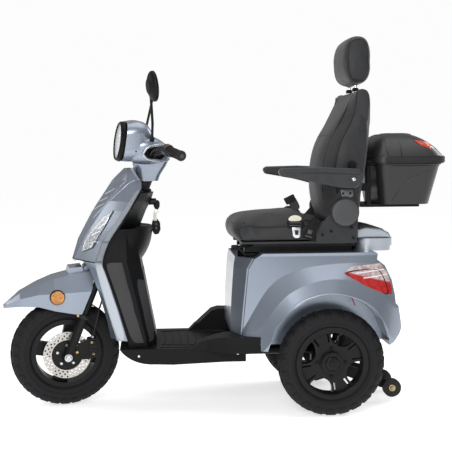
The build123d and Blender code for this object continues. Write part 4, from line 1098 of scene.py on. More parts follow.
@dataclass
class Headset:
    """Headlamp, window rim, mirrors' fittings, switches and grips."""

    nodes: dict[str, bpy.types.Object]
    lamp_origin: Point = (-0.410, 0.0, 1.051)
    lamp_axis: Point = (-0.99, 0.0, 0.14)
    grip_ribs: int = 11

    def build(self) -> None:
        """Build and dress the headset."""
        self.headlamp()
        self.window()
        self.mirror_parts()
        self.bars()
        log.info("headset dressed")

    def headlamp(self) -> None:
        """Reflector bowl, bulb and clear front in the headlamp's bezel."""
        origin, axis = Vector(self.lamp_origin), Vector(self.lamp_axis).normalized()
        bowl = mm([(4.4, 0), (4.4, 16), (6, 30), (9, 46), (13, 58), (15.5, 66), (15.5, 68.4)])
        bowl += mm([(4.3, 68.4), (4.3, 0)])
        fit(STEERING.steer(Bench.spin("lamp_bowl", bowl, origin, axis, 64)), Look.REFLECTOR, "steering")
        bulb = mm([(4, 0), (4, 9), (9, 9), (10, 6.5), (15, 6.5), (18, 4), (18.5, 0)])
        fit(STEERING.steer(Bench.spin("lamp_bulb", bulb, origin, axis, 24)), Look.CREAM, "steering")
        glass = mm([(9.5, 68.3), (13.5, 68.3), (15.5, 62), (18, 46), (19.8, 28), (20.6, 12), (20.8, 0)])
        glass += mm([(19.0, 0), (18.6, 14), (17.6, 30), (15.6, 48), (13.2, 61), (11.5, 66), (9.5, 66.4)])
        lens = Bench.spin("lamp_glass", glass, origin, axis, 64)
        fit(STEERING.steer(lens), Look.CLEAR, "steering", "headlamp_lens")
        rim = mm([(12, 68.6), (19.5, 68.6), (21, 70.5), (20.6, 73), (17.5, 76), (12, 76.4)])
        ring = Bench.spin("lamp_rim", rim, origin, axis, 72, True)
        fit(STEERING.steer(ring), Look.BLACK_PLASTIC, "steering")

    def window(self) -> None:
        """Raised rims along the edges of the cowl's side windows, painted pale as the highlight on the cowl's
        lip, and a dark block inside them as painted shade.
        """
        cowl = self.nodes["headset_cowl"]
        top = [(-345, 1010), (-336, 1026), (-318, 1038), (-290, 1042), (-262, 1041), (-240, 1035)]
        low = [(-345, 1008), (-336, 990), (-310, 983), (-280, 978), (-252, 980), (-236, 984)]
        outline = mm([(-354, 1016), (-326, 1042), (-268, 1044), (-252, 1000), (-274, 978), (-346, 984)])
        # a dark block through the cowl behind its side windows: painted shade where the cowl's inside lies in
        # shadow
        shade_block = Bench.prism("window_shade_block", outline, -0.050, 0.050, "Y", 0.006)
        fit(STEERING.steer(shade_block), Look.SEAM, "steering")
        for side, name in SIDES:
            way = STEERING.turned((0, -side, 0))
            for edge, line in (("top", top), ("low", low)):
                guess = [STEERING.matrix() @ Vector((x / 1000, side * 0.096, z / 1000)) for x, z in line]
                path = Bench.cast(cowl, guess, -0.0005, way)
                # the rims' pale paint is a painted highlight on the lip round each window
                rim = Bench.pipe(f"window_rim_{edge}_{name}", path, 0.0062)
                fit(rim, Look.TRIM, "steering")
            for spot, radius in (((-372, 1018), 3.0), ((-318, 940), 3.5)):
                guess = STEERING.matrix() @ Vector((spot[0] / 1000, side * 0.09, spot[1] / 1000))
                _, place, normal, _ = cowl.closest_point_on_mesh(guess)
                screw = Bench.screw(f"cowl_screw_{spot[1]}_{name}", place, normal, radius / 1000, 0.0018, 16)
                fit(screw, Look.BLACK_PLASTIC, "steering")

    def mirror_parts(self) -> None:
        """Mirror glasses, rims and the nuts at the stems' feet."""
        glasses = {
            "left": ((-0.340, -0.280, 1.271), (1, 0.12, 0.1)),
            "right": ((-0.222, 0.280, 1.262), (1, -0.12, 0.1)),
        }
        profile = mm([(-1, 0), (-1, 44), (0.6, 44), (0.6, 43), (0.4, 0)])
        frame = mm([(-1.5, 43.5), (-1.5, 46), (1.2, 46), (2.2, 45), (2.2, 44), (1.2, 43.5)])
        for name, (centre, axis) in glasses.items():
            glass = Bench.spin(f"mirror_glass_{name}", profile, (0, 0, 0), (1, 0, 0), 48)
            rim = Bench.spin(f"mirror_rim_{name}", frame, (0, 0, 0), (1, 0, 0), 48, True)
            scale = Matrix.Scale(56 / 46, 4, (0, 0, 1))
            turn = Vector((1, 0, 0)).rotation_difference(Vector(axis)).to_matrix().to_4x4()
            place = STEERING.matrix() @ Matrix.Translation(centre) @ turn @ scale
            fit(Bench.place(glass, place), Look.CHROME, "steering")
            fit(Bench.place(rim, place), Look.BLACK_PLASTIC, "steering")
        hexagon = mm([(-6, 0), (-6, 9.5), (7, 9.5), (9, 8), (9, 0)])
        taper = mm([(8, 0), (8, 7.5), (16, 6), (24, 5.8), (24, 0)])
        stems = {"left": ((-308, -84, 1064), (-22, -116, 68)), "right": ((-306, 86, 1066), (28, 74, 48))}
        for name, (foot, up) in stems.items():
            spot = STEERING.matrix() @ (Vector(foot) / 1000)
            axis = STEERING.turned(Vector(up).normalized() * 0.6 + Vector((0, 0, 0.4)))
            nut = Bench.spin(f"mirror_nut_{name}", hexagon, spot, axis, 6)
            boot = Bench.spin(f"mirror_boot_{name}", taper, spot, axis, 24)
            fit(Bench.smooth(nut, 30), Look.FRAME, "steering")
            fit(boot, Look.RUBBER, "steering")

    def bars(self) -> None:
        """Grips with end discs, switch pods with buttons, and cables to the cowl."""
        bar = STEERING.at(-0.0272, 0, 0.8615)
        for side, name in SIDES:
            bend = bar + Vector((0.020, side * 0.205, 0.028))
            end = bar + Vector((0.054, side * 0.335, 0.012))
            along = (end - bend).normalized()
            pod = bend + along * 0.024
            self.grip(name, bend + along * 0.040, end)
            self.switches(name, pod, along)
            root = pod + Vector((-0.030, 0, 0.008))
            route = [root, root + Vector((-0.012, -side * 0.030, -0.004))]
            route += [bar + Vector((-0.020, side * 0.110, 0.0)), bar + Vector((0.0, side * 0.070, -0.010))]
            cable = Bench.pipe(f"control_cable_{name}", route, 0.0028)
            fit(STEERING.steer(cable), Look.RUBBER, "steering")
        log.info("bars dressed")

    def grip(self, name: str, start: Vector, end: Vector) -> None:
        """A ribbed rubber grip with a flange, and the disc at its end."""
        low, high, flange = 0.0172, 0.0182, 0.0195
        along = (end - start).normalized()
        length = (end - start).length
        step = (length - 0.022) / self.grip_ribs
        profile = [(0.002, low)]
        for i in range(self.grip_ribs):
            at = 0.006 + i * (length - 0.022) / self.grip_ribs
            profile += [(at, low), (at, high), (at + step * 0.62, high), (at + step * 0.62, low)]
        profile += [(length - 0.012, low), (length - 0.012, flange), (length - 0.002, flange)]
        profile += [(length + 0.001, 0.018), (length + 0.001, 0.0), (length - 0.003, 0.0)]
        profile += [(length - 0.003, 0.0168), (0.002, 0.0168)]
        grip = Bench.spin(f"grip_{name}", profile, start, along, 40)
        fit(STEERING.steer(grip), Look.RUBBER, "steering")
        cap = Bench.screw(f"grip_end_{name}", end + along * 0.0005, along, 0.008, 0.003, 24)
        fit(STEERING.steer(cap), Look.GREY_PLASTIC, "steering")

    def switches(self, name: str, pod: Vector, along: Vector) -> None:
        """The switch pod round the bar, and its three buttons."""
        collar = mm([(-17, 12), (-17, 20.5), (-15, 22), (13, 22), (15, 20.5), (15, 12)])
        collar = Bench.spin(f"switch_pod_{name}", collar, pod, along, 40, True)
        fit(STEERING.steer(collar), Look.GREY_PLASTIC, "steering")
        buttons = ((0.0, Look.RED), (0.55, Look.BLACK_PLASTIC), (-0.5, Look.AMBER))
        for i, (turn, look) in enumerate(buttons):
            out = Vector((math.sin(turn) * 0.6 + 0.35, 0, math.cos(turn))).normalized()
            foot = pod + out * 0.0205 + along * (0.009 * (i - 1))
            button = Bench.screw(f"switch_{i}_{name}", foot, out, 0.0038, 0.0035, 16)
            fit(STEERING.steer(button), look, "steering")


@dataclass
class Shield:
    """Pieces on the leg shield: pale strips on the edge bevels and pale nose ridges, both painted highlights,
    lamp rims, knee insets and the pockets' rim.
    """

    nodes: dict[str, bpy.types.Object]
    bevels: tuple[tuple[float, ...], ...] = (
        # height, bevel x, bevel half width, edge x, edge half width
        (290, -434, 175, -394, 190), (399, -466, 182, -424, 200), (503, -494, 182, -456, 202),
        (560, -508, 182, -475, 202), (589, -513, 182, -488, 202), (669, -485, 182, -460, 202),
        (724, -446, 182, -423, 200), (783, -405, 178, -384, 195), (819, -381, 172, -362, 188),
        (862, -352, 143, -336, 158),
    )
    noses: tuple[tuple[float, ...], ...] = (
        # height, nose x, crease x, crease half width
        (589, -613, -600, 30), (669, -588, -562, 52), (724, -559, -527, 66), (783, -527, -489, 74),
        (819, -503, -465, 78), (868, -470, -425, 82), (899, -450, -392, 82),
    )

    def build(self) -> None:
        """Build and dress the shield."""
        self.strip()
        self.seams()
        self.marker_rims()
        self.knee()
        log.info("shield dressed")

    def strip(self) -> None:
        """Pale strip laid over the bevel along the shield's edge, a painted highlight, and the dark seal
        behind it.
        """
        rows = []
        for z, bevel_x, bevel_y, edge_x, edge_y in self.bevels:
            first = Vector((bevel_x, -bevel_y, z))
            last = Vector((edge_x, -edge_y, z))
            rows.append([(first.lerp(last, share)) / 1000 for share in (0.10, 0.5, 0.94)])
        shield = self.nodes["leg_shield"]
        rows = [Bench.cast(shield, row, 0.0012) for row in rows]
        # the pale strip paints the highlight that falls along the rounded bevel
        left = Bench.sheet("edge_strip_left", rows, 0.0022, 2)
        fit_pair(left, Look.TRIM, "chassis")
        seal = [Vector((row[3] + 5, -(row[4] - 3), row[0])) / 1000 for row in self.bevels]
        fit_pair(Bench.pipe("edge_seal_left", seal, 0.0042), Look.BLACK_PLASTIC, "chassis")

    def seams(self) -> None:
        """Creases down the nose, the raised ridges beside them painted pale as highlight lines, and the split
        under the nose.
        """
        shield = self.nodes["leg_shield"]
        crease = [Vector((x, -y, z)) / 1000 for z, _, x, y in self.noses]
        left = Bench.pipe("nose_crease_left", Bench.onto(shield, crease, -0.0006), 0.0024)
        fit_pair(left, Look.BODY, "chassis")
        ridges = (
            ((-521, 754), (-496, 782), (-457, 820), (-411, 862), (-383, 887), (-354, 902)),
            ((-497, 819), (-476, 828), (-461, 838)),
            ((-474, 847), (-453, 859), (-432, 871)),
            ((-521, 786), (-500, 799), (-471, 813)),
        )
        slant = Vector((-0.042, 1.0, -0.044)).normalized()
        for i, ridge in enumerate(ridges):
            spots = beside(ridge, -95)
            path = [a.lerp(b, k / 6) for a, b in zip(spots, spots[1:]) for k in range(6)]
            line = Bench.cast(shield, path, 0.0002, slant)
            # the ridges' pale paint is a painted highlight along the nose's stepped edges
            fit_pair(Bench.pipe(f"nose_step_{i}_left", line, 0.0022), Look.TRIM, "chassis")
        half = ((-513, -183), (-560, -105), (-600, -31), (-613, 0))
        corners = half + tuple((x, -y) for x, y in reversed(half[:-1]))
        split = Bench.onto(shield, [Vector((x, y, 589)) / 1000 for x, y in corners], -0.0008)
        fit(Bench.pipe("nose_split", split, 0.0022), Look.BLACK_PLASTIC, "chassis")

    def marker_rims(self) -> None:
        """Chrome rims and reflector bars of the marker lamps."""
        lamps = self.nodes["front_marker_lamps"]
        blade = [(-446, 781), (-486, 712), (-524, 649), (-566, 625), (-553, 668), (-492, 744)]
        line = Bench.cast(lamps, beside(blade, -186), 0.0004)
        fit_pair(Bench.pipe("marker_rim_left", line, 0.0022, True), Look.CHROME, "chassis")
        bars = []
        ends = (((-466, 742), (-500, 715)), ((-490, 707), (-526, 688)), ((-512, 668), (-546, 655)))
        for i, (start, end) in enumerate(ends):
            middle = ((start[0] + end[0]) / 2, (start[1] + end[1]) / 2 + 2)
            line = beside((start, middle, end), -188)
            bars.append(Bench.pipe(f"marker_bar_{i}", Bench.cast(lamps, line, 0.0), 0.0028))
        left = Bench.join(*bars)
        left.name = "marker_bars_left"
        fit_pair(left, Look.CHROME, "chassis")

    def knee(self) -> None:
        """Grey insets on the knee panel's face and flanks, and the rim of the pockets."""
        panel = self.nodes["knee_panel"]
        faces = ((276, -283, 151), (330, -293, 154), (399, -306, 158), (470, -319, 161), (545, -332, 160))
        rows = []
        for z, rear, half in faces:
            row = []
            for share in (-1, -0.72, -0.36, 0, 0.36, 0.72, 1):
                row.append(Vector((rear, (half - 44) * share, z)) / 1000)
            rows.append(Bench.onto(panel, row, 0.0008))
        inset = Bench.sheet("knee_inset", rows, 0.0024, 2)
        fit(inset, Look.KNEE_PLASTIC, "chassis")
        flanks = (
            (277, -372, -289), (330, -391, -294), (399, -412, -306), (470, -433, -319), (545, -459, -333),
            (590, -474, -340),
        )
        rows = []
        for z, front, rear in flanks:
            row = beside([(front + (rear - front) * share, z) for share in (0, 0.25, 0.5, 0.75, 1)], -180)
            rows.append(Bench.cast(panel, row, 0.0010))
        fit_pair(Bench.sheet("knee_flank_left", rows, 0.0024, 2), Look.KNEE_PLASTIC, "chassis")
        shares = (-1, -0.93, -0.8, -0.6, -0.4, -0.2, 0, 0.2, 0.4, 0.6, 0.8, 0.93, 1)
        rows = []
        for z in (715, 708, 701):
            row = [Vector((-291 - 128 * abs(share) ** 3.2, 176 * share, z)) / 1000 for share in shares]
            rows.append(Bench.onto(panel, row, 0.0014))
        fit(Bench.sheet("pocket_rim", rows, 0.0030, 1), Look.RIM_PLASTIC, "chassis")


@dataclass
class Keys:
    """The key in its lock, with a tag and a remote fob hanging from it."""

    middle: float = -0.014
    lock: tuple[float, float] = (-0.300, 0.812)

    def build(self) -> None:
        """Build and dress the keys."""
        y = self.middle
        barrel = Bench.spin(
            "ignition_lock", mm([(-14, 0), (-14, 13), (22, 13), (24, 11), (24, 6), (21, 5), (21, 0)]),
            (self.lock[0], y, self.lock[1]), (1, 0, 0), 32,
        )
        fit(barrel, Look.FRAME, "chassis", "ignition_keys")
        head = mm([(-284, 816), (-268, 818), (-262, 808), (-263, 790), (-270, 780), (-282, 782)])
        head += mm([(-287, 794), (-288, 808)])
        bow = Bench.prism("key_head", head, y - 0.004, y + 0.004, "Y", 0.0025)
        fit(bow, Look.BLACK_PLASTIC, "chassis")
        loop = ((-276, 786), (-268, 776), (-272, 764), (-282, 764), (-285, 776))
        ring = [(x / 1000, y, z / 1000) for x, z in loop]
        fit(Bench.pipe("key_ring", ring, 0.0011, True), Look.STEEL, "chassis")
        card = mm([(-288, 768), (-277, 768), (-274, 736), (-289, 735)])
        tag = Bench.prism("key_tag", card, y - 0.006, y - 0.004, "Y", 0.0008)
        fit(tag, Look.CREAM, "chassis")
        shell = mm([(-290, 742), (-272, 742), (-262, 728), (-260, 700), (-268, 682), (-284, 680)])
        shell += mm([(-293, 694), (-295, 724)])
        fob = Bench.prism("key_fob", shell, y - 0.003, y + 0.009, "Y", 0.004)
        fit(fob, Look.BLACK_PLASTIC, "chassis")
        pads = []
        for i, z in enumerate((722, 706)):
            spot = (-0.277, y - 0.003, z / 1000)
            pads.append(Bench.screw(f"fob_button_{i}", spot, (0, -1, 0), 0.0045, 0.001, 20))
        fit(Bench.join(*pads), Look.GREY_PLASTIC, "chassis")
        band = mm([(-282, 764), (-277, 764), (-274, 738), (-279, 738)])
        strap = Bench.prism("fob_strap", band, y, y + 0.002, "Y", 0.0006)
        fit(strap, Look.FRAME, "chassis")
        log.info("keys built")


# ---------------------------------------------------------------- floor and rear bodywork
@dataclass
class Floor:
    """Ribs and mat lines on the floorboard, and screws along its sides."""

    nodes: dict[str, bpy.types.Object]
    above: float = 0.262
    ribs: int = 9
    rib_pitch: float = 0.030

    def build(self) -> None:
        """Build and dress the floor."""
        board = self.nodes["floorboard"]
        ribs = []
        for i in range(self.ribs):
            x = -0.250 + i * self.rib_pitch
            line = [(x, -0.112), (x + 0.006, -0.04), (x + 0.006, 0.04), (x, 0.112)]
            line = Bench.onto(board, [(*point, self.above) for point in line], 0.0)
            ribs.append(Bench.pipe(f"floor_rib_{i}", line, 0.0022))
        for i, y in enumerate((-0.150, 0.150)):
            line = [(-0.262, y * 0.9), (-0.18, y), (-0.06, y), (0.0, y * 0.94)]
            line = Bench.onto(board, [(*point, self.above) for point in line], 0.0)
            ribs.append(Bench.pipe(f"floor_bead_{i}", line, 0.0028))
        fit(Bench.join(*ribs), Look.BLACK_PLASTIC, "chassis")
        heads = []
        for i, (x, y) in enumerate(((-0.350, -1), (-0.350, 1), (0.020, -1), (0.020, 1))):
            guess = Vector((x, y * 0.32, 0.232))
            _, place, normal, _ = board.closest_point_on_mesh(guess)
            heads.append(Bench.screw(f"floor_screw_{i}", place, normal, 0.0045, 0.002, 20))
        fit(Bench.join(*heads), Look.STEEL, "chassis")
        log.info("floor dressed")


@dataclass
class Rear:
    """Rear bodywork's arch lips, the deck's ribbed plate, lamp gaskets and bars, and red springs."""

    nodes: dict[str, bpy.types.Object]
    lamp: tuple[Point, ...] = (
        (425, 546), (458, 570), (572, 579), (602, 543), (619, 482), (616, 460), (580, 467), (503, 501),
    )
    spring_turns: int = 7

    def build(self) -> None:
        """Build and dress the rear."""
        self.lips()
        self.lamps()
        self.deck()
        self.springs()
        log.info("rear dressed")

    def lips(self) -> None:
        """Rolled lips round the wheel arches, and the red wires under the tail lamps."""
        shell = self.nodes["rear_body"]
        arch = [(150, 290), (166, 345), (205, 410), (262, 452), (330, 474), (395, 478), (460, 462)]
        arch += [(520, 428), (566, 378), (590, 330)]
        line = Bench.cast(shell, beside(arch, -330), -0.0015)
        fit_pair(Bench.pipe("arch_lip_left", line, 0.0045), Look.BODY, "chassis")
        for side, name in SIDES:
            line = [(452, 232, 474), (462, 236, 452), (474, 238, 430), (480, 232, 415)]
            line = mm([(x, side * y, z) for x, y, z in line])
            fit(Bench.pipe(f"lamp_wire_{name}", line, 0.0022), Look.SPRING, "chassis")

    def lamps(self) -> None:
        """Dark gaskets round the tail lamps, and clear bars over their faces."""
        lamps = self.nodes["tail_lamps"]
        line = Bench.cast(lamps, beside(self.lamp, -300), 0.0002)
        fit_pair(Bench.pipe("tail_gasket_left", line, 0.0022, True), Look.BLACK_PLASTIC, "chassis")
        bars = []
        ends = ((470, 585, 545, 556), (500, 596, 528, 536))
        for i, (front, rear, low, high) in enumerate(ends):
            line = [(front + (rear - front) * k, low + (high - low) * k) for k in (0, 0.33, 0.66, 1)]
            bars.append(Bench.pipe(f"tail_bar_{i}", Bench.cast(lamps, beside(line, -300), 0.0), 0.0024))
        left = Bench.join(*bars)
        left.name = "tail_bars_left"
        fit_pair(left, Look.CLEAR, "chassis")

    def deck(self) -> None:
        """Grey ribbed plate on the rear deck, and the dark seam round its foot."""
        deck = self.nodes["rear_deck"]
        rows = []
        for x in (508, 532, 556, 580, 604, 622):
            half = 146 - max(0, x - 590) * 0.6
            row = [Vector((x, half * share, 712)) / 1000 for share in (-1, -0.7, -0.35, 0, 0.35, 0.7, 1)]
            rows.append([self.drop(deck, point) for point in row])
        plate = Bench.sheet("deck_plate", rows, 0.005, 1)
        ribs = []
        for i in range(8):
            y = -126 + i * 36
            line = [self.drop(deck, Vector((x, y, 712)) / 1000) for x in (514, 545, 580, 612)]
            ribs.append(Bench.pipe(f"deck_rib_{i}", [spot + Vector((0, 0, 0.002)) for spot in line], 0.0032))
        fit(Bench.join(plate, *ribs), Look.GREY_PLASTIC, "chassis")
        half = ((503, -178), (560, -184), (618, -180), (646, -140), (646, 0))
        corners = half + tuple((x, -y) for x, y in reversed(half[:-1]))
        seam = Bench.onto(deck, [Vector((x, y, 640)) / 1000 for x, y in corners], -0.0004)
        fit(Bench.pipe("deck_seam", seam, 0.0020), Look.BLACK_PLASTIC, "chassis")

    @staticmethod
    def drop(target: bpy.types.Object, point: Point) -> Vector:
        """The point straight below on a surface, or the nearest one."""
        hit, place, _, _ = target.ray_cast(Vector(point) + Vector((0, 0, 0.1)), Vector((0, 0, -1)))
        return place if hit else target.closest_point_on_mesh(Vector(point))[1]

    def springs(self) -> None:
        """Shock absorbers: rods, collars, eyes and coiled red springs."""
        for side, name in SIDES:
            foot = Vector((0.410, side * 0.163, 0.2505))
            top = Vector((0.477, side * 0.163, 0.540))
            axis = (top - foot).normalized()
            length = (top - foot).length
            low, high = 0.048, length - 0.048
            line = []
            steps = self.spring_turns * 10
            helper = axis.cross(Vector((0, 1, 0))).normalized()
            across = axis.cross(helper)
            for i in range(steps + 1):
                angle = math.tau * i / 10
                out = helper * math.cos(angle) + across * math.sin(angle)
                line.append(foot + axis * (low + (high - low) * i / steps) + out * 0.0195)
            fit(Bench.pipe(f"spring_{name}", line, 0.0036), Look.SPRING, "chassis", "shock_absorbers")
            body = [(0.018, 0), (0.018, 0.012), (low - 0.004, 0.012), (low - 0.004, 0.023), (low, 0.024)]
            body += [(low, 0.010), (high, 0.008), (high, 0.024), (high + 0.004, 0.023), (high + 0.010, 0.010)]
            body += [(length - 0.010, 0.008), (length - 0.010, 0)]
            fit(Bench.spin(f"damper_{name}", body, foot, axis, 28), Look.FRAME, "chassis")
            eye = mm([(-10, 9.2), (-10, 15), (-8, 16), (8, 16), (10, 15), (10, 9.2)])
            fit(Bench.spin(f"damper_eye_{name}", eye, top, (0, 1, 0), 28, True), Look.FRAME, "chassis")


# ---------------------------------------------------------------- seat
@dataclass
class Padding:
    """A stuffed piece: its solid, shrunk, inflated as cloth, and held where it rests."""

    node: str
    name: str
    body: str
    look: Look = Look.VINYL
    fill: float = 0.8
    voxel: float = 0.006
    shrink: float = 0.005
    pressure: float = 4.0
    reach: float = 0.024
    firmness: float = 0.55
    frames: int = 20
    held_below: float = -10.0
    settle: int = 4

    def build(self, source: bpy.types.Object) -> bpy.types.Object:
        """Build the padded piece.

        Args:
            source: The solid whose shape it takes.

        Returns:
            The padded piece, before it is hung on its body.
        """
        piece = Bench.tidy(Bench.copy(source, self.name))
        Bench.modify(piece, "REMESH", mode="VOXEL", voxel_size=self.voxel)
        Bench.modify(piece, "SMOOTH", factor=0.5, iterations=self.settle)
        Bench.modify(piece, "DISPLACE", strength=-self.shrink, mid_level=0.0)
        self.inflate(piece)
        Bench.modify(piece, "SMOOTH", factor=0.5, iterations=5)
        Bench.modify(piece, "SUBSURF", levels=1, render_levels=1)
        return Bench.smooth(piece, 60)

    def inflate(self, piece: bpy.types.Object) -> None:
        """Blow the piece up with cloth, no point further than its reach."""
        rest = [vertex.co.copy() for vertex in piece.data.vertices]
        held = piece.vertex_groups.new(name="held")
        held.add([v.index for v in piece.data.vertices if v.co.z < self.held_below], 1.0, "REPLACE")
        cloth = piece.modifiers.new("stuffing", "CLOTH")
        settings = cloth.settings
        settings.use_pressure = True
        settings.uniform_pressure_force = self.pressure
        settings.effector_weights.gravity = 0.0
        settings.vertex_group_mass = held.name
        settings.quality = 4
        cloth.point_cache.frame_start = 1
        cloth.point_cache.frame_end = self.frames
        scene = bpy.context.scene
        for frame in range(1, self.frames + 1):
            scene.frame_set(frame)
        Bench.pick(piece)
        bpy.ops.object.modifier_apply(modifier=cloth.name)
        scene.frame_set(1)
        for vertex, start in zip(piece.data.vertices, rest):
            move = (vertex.co - start) * (1.0 - self.firmness)
            if move.length > self.reach:
                move *= self.reach / move.length
            vertex.co = start + move


@dataclass
class Upholstery:
    """Cushion, backrest and headrest with their welts and stitching."""

    nodes: dict[str, bpy.types.Object]
    back_seam: tuple[Point, ...] = (
        (470, 1246), (477, 1200), (473, 1154), (452, 1105), (425, 1060), (406, 1003), (398, 954), (398, 897),
        (404, 842),
    )
    cushion_seam: tuple[Point, ...] = (
        (44, 676), (28, 699), (30, 722), (64, 733), (122, 727), (200, 727), (314, 726),
    )
    head_seam: tuple[Point, ...] = (
        (475, 1405), (483, 1432), (507, 1443), (534, 1439), (550, 1405), (556, 1359), (555, 1301),
        (539, 1274), (507, 1268), (486, 1284), (474, 1320), (472, 1362),
    )

    def build(self) -> None:
        """Build and dress the upholstery."""
        cushion = Padding("seat_cushion", "seat_pad", "seat", held_below=0.672)
        self.finish(cushion, self.cushion_welts)
        self.finish(Padding("seat_back", "back_pad", "backrest", shrink=0.004), self.back_welts)
        head = Padding("headrest", "head_pad", "backrest", voxel=0.0045, shrink=0.004, reach=0.014)
        self.finish(head, self.head_welts)
        self.posts()

    def finish(self, padding: Padding, welts: Callable[[bpy.types.Object], None]) -> None:
        """Pad a node, give it its welts and hang it."""
        piece = padding.build(self.nodes[padding.node])
        welts(piece)
        fit(piece, padding.look, padding.body, padding.node)
        log.info("%s padded", piece.name)

    def welt(self, name: str, pad: bpy.types.Object, line: list[Vector], body: str, cyclic: bool = False,
             radius: float = 0.0032) -> None:
        """A dark welt laid along a line on a pad."""
        fit(Bench.pipe(name, Bench.onto(pad, line, 0.0004), radius, cyclic), Look.SEAM, body)

    def cushion_welts(self, pad: bpy.types.Object) -> None:
        """Welts along the cushion's sides and round its front edge."""
        for side, name in SIDES:
            self.welt(f"cushion_welt_{name}", pad, beside(self.cushion_seam, side * 230), "seat")
        half = ((60, -206, 738), (22, -190, 734), (6, -120, 738), (2, 0, 740))
        corners = half + tuple((x, -y, z) for x, y, z in reversed(half[:-1]))
        self.welt("cushion_welt_front", pad, [Vector(corner) / 1000 for corner in corners], "seat")

    def back_welts(self, pad: bpy.types.Object) -> None:
        """S-shaped welts down the backrest's sides, and a channel across its front."""
        for side, name in SIDES:
            line = beside([(x + 4, z) for x, z in self.back_seam], side * 222)
            self.welt(f"back_welt_{name}", pad, line, "backrest", radius=0.0042)
            inner = [(467, 1236), (455, 1164), (415, 1066), (370, 1003), (355, 930), (360, 850)]
            line = beside(inner, side * 150)
            self.welt(f"back_panel_welt_{name}", pad, line, "backrest", radius=0.0026)
        across = [Vector((370, y, 1080)) / 1000 for y in (-150, -75, 0, 75, 150)]
        self.welt("back_channel", pad, across, "backrest", radius=0.0026)

    def head_welts(self, pad: bpy.types.Object) -> None:
        """Welts round the headrest's side panels, with cross stitches."""
        for side, name in SIDES:
            self.welt(f"head_welt_{name}", pad, beside(self.head_seam, side * 126), "backrest", True, 0.0024)
            stitches = []
            for i in range(11):
                z = 1296 + i * 13
                x = 473 + 6 * ((i - 5) / 5) ** 2
                line = [Vector((x - 6, side * 122, z)) / 1000, Vector((x, side * 126, z + 2)) / 1000,
                        Vector((x + 7, side * 126, z)) / 1000]
                stitches.append(Bench.pipe(f"head_stitch_{i}_{name}", Bench.onto(pad, line, 0.0006), 0.0013))
            fit(Bench.join(*stitches), Look.SEAM, "backrest")

    def posts(self) -> None:
        """Chromed headrest posts with their sleeves."""
        for side, name in SIDES:
            foot = (0.516, side * 0.060, 1.212)
            post = mm([(0, 0), (0, 6), (86, 6), (86, 0)])
            fit(Bench.spin(f"head_post_{name}", post, foot, (0, 0, 1), 28), Look.CHROME, "backrest")
            sleeve = mm([(30, 6.3), (30, 13), (40, 13), (44, 10), (44, 6.3)])
            sleeve = Bench.spin(f"head_sleeve_{name}", sleeve, foot, (0, 0, 1), 28, True)
            fit(sleeve, Look.BLACK_PLASTIC, "backrest")


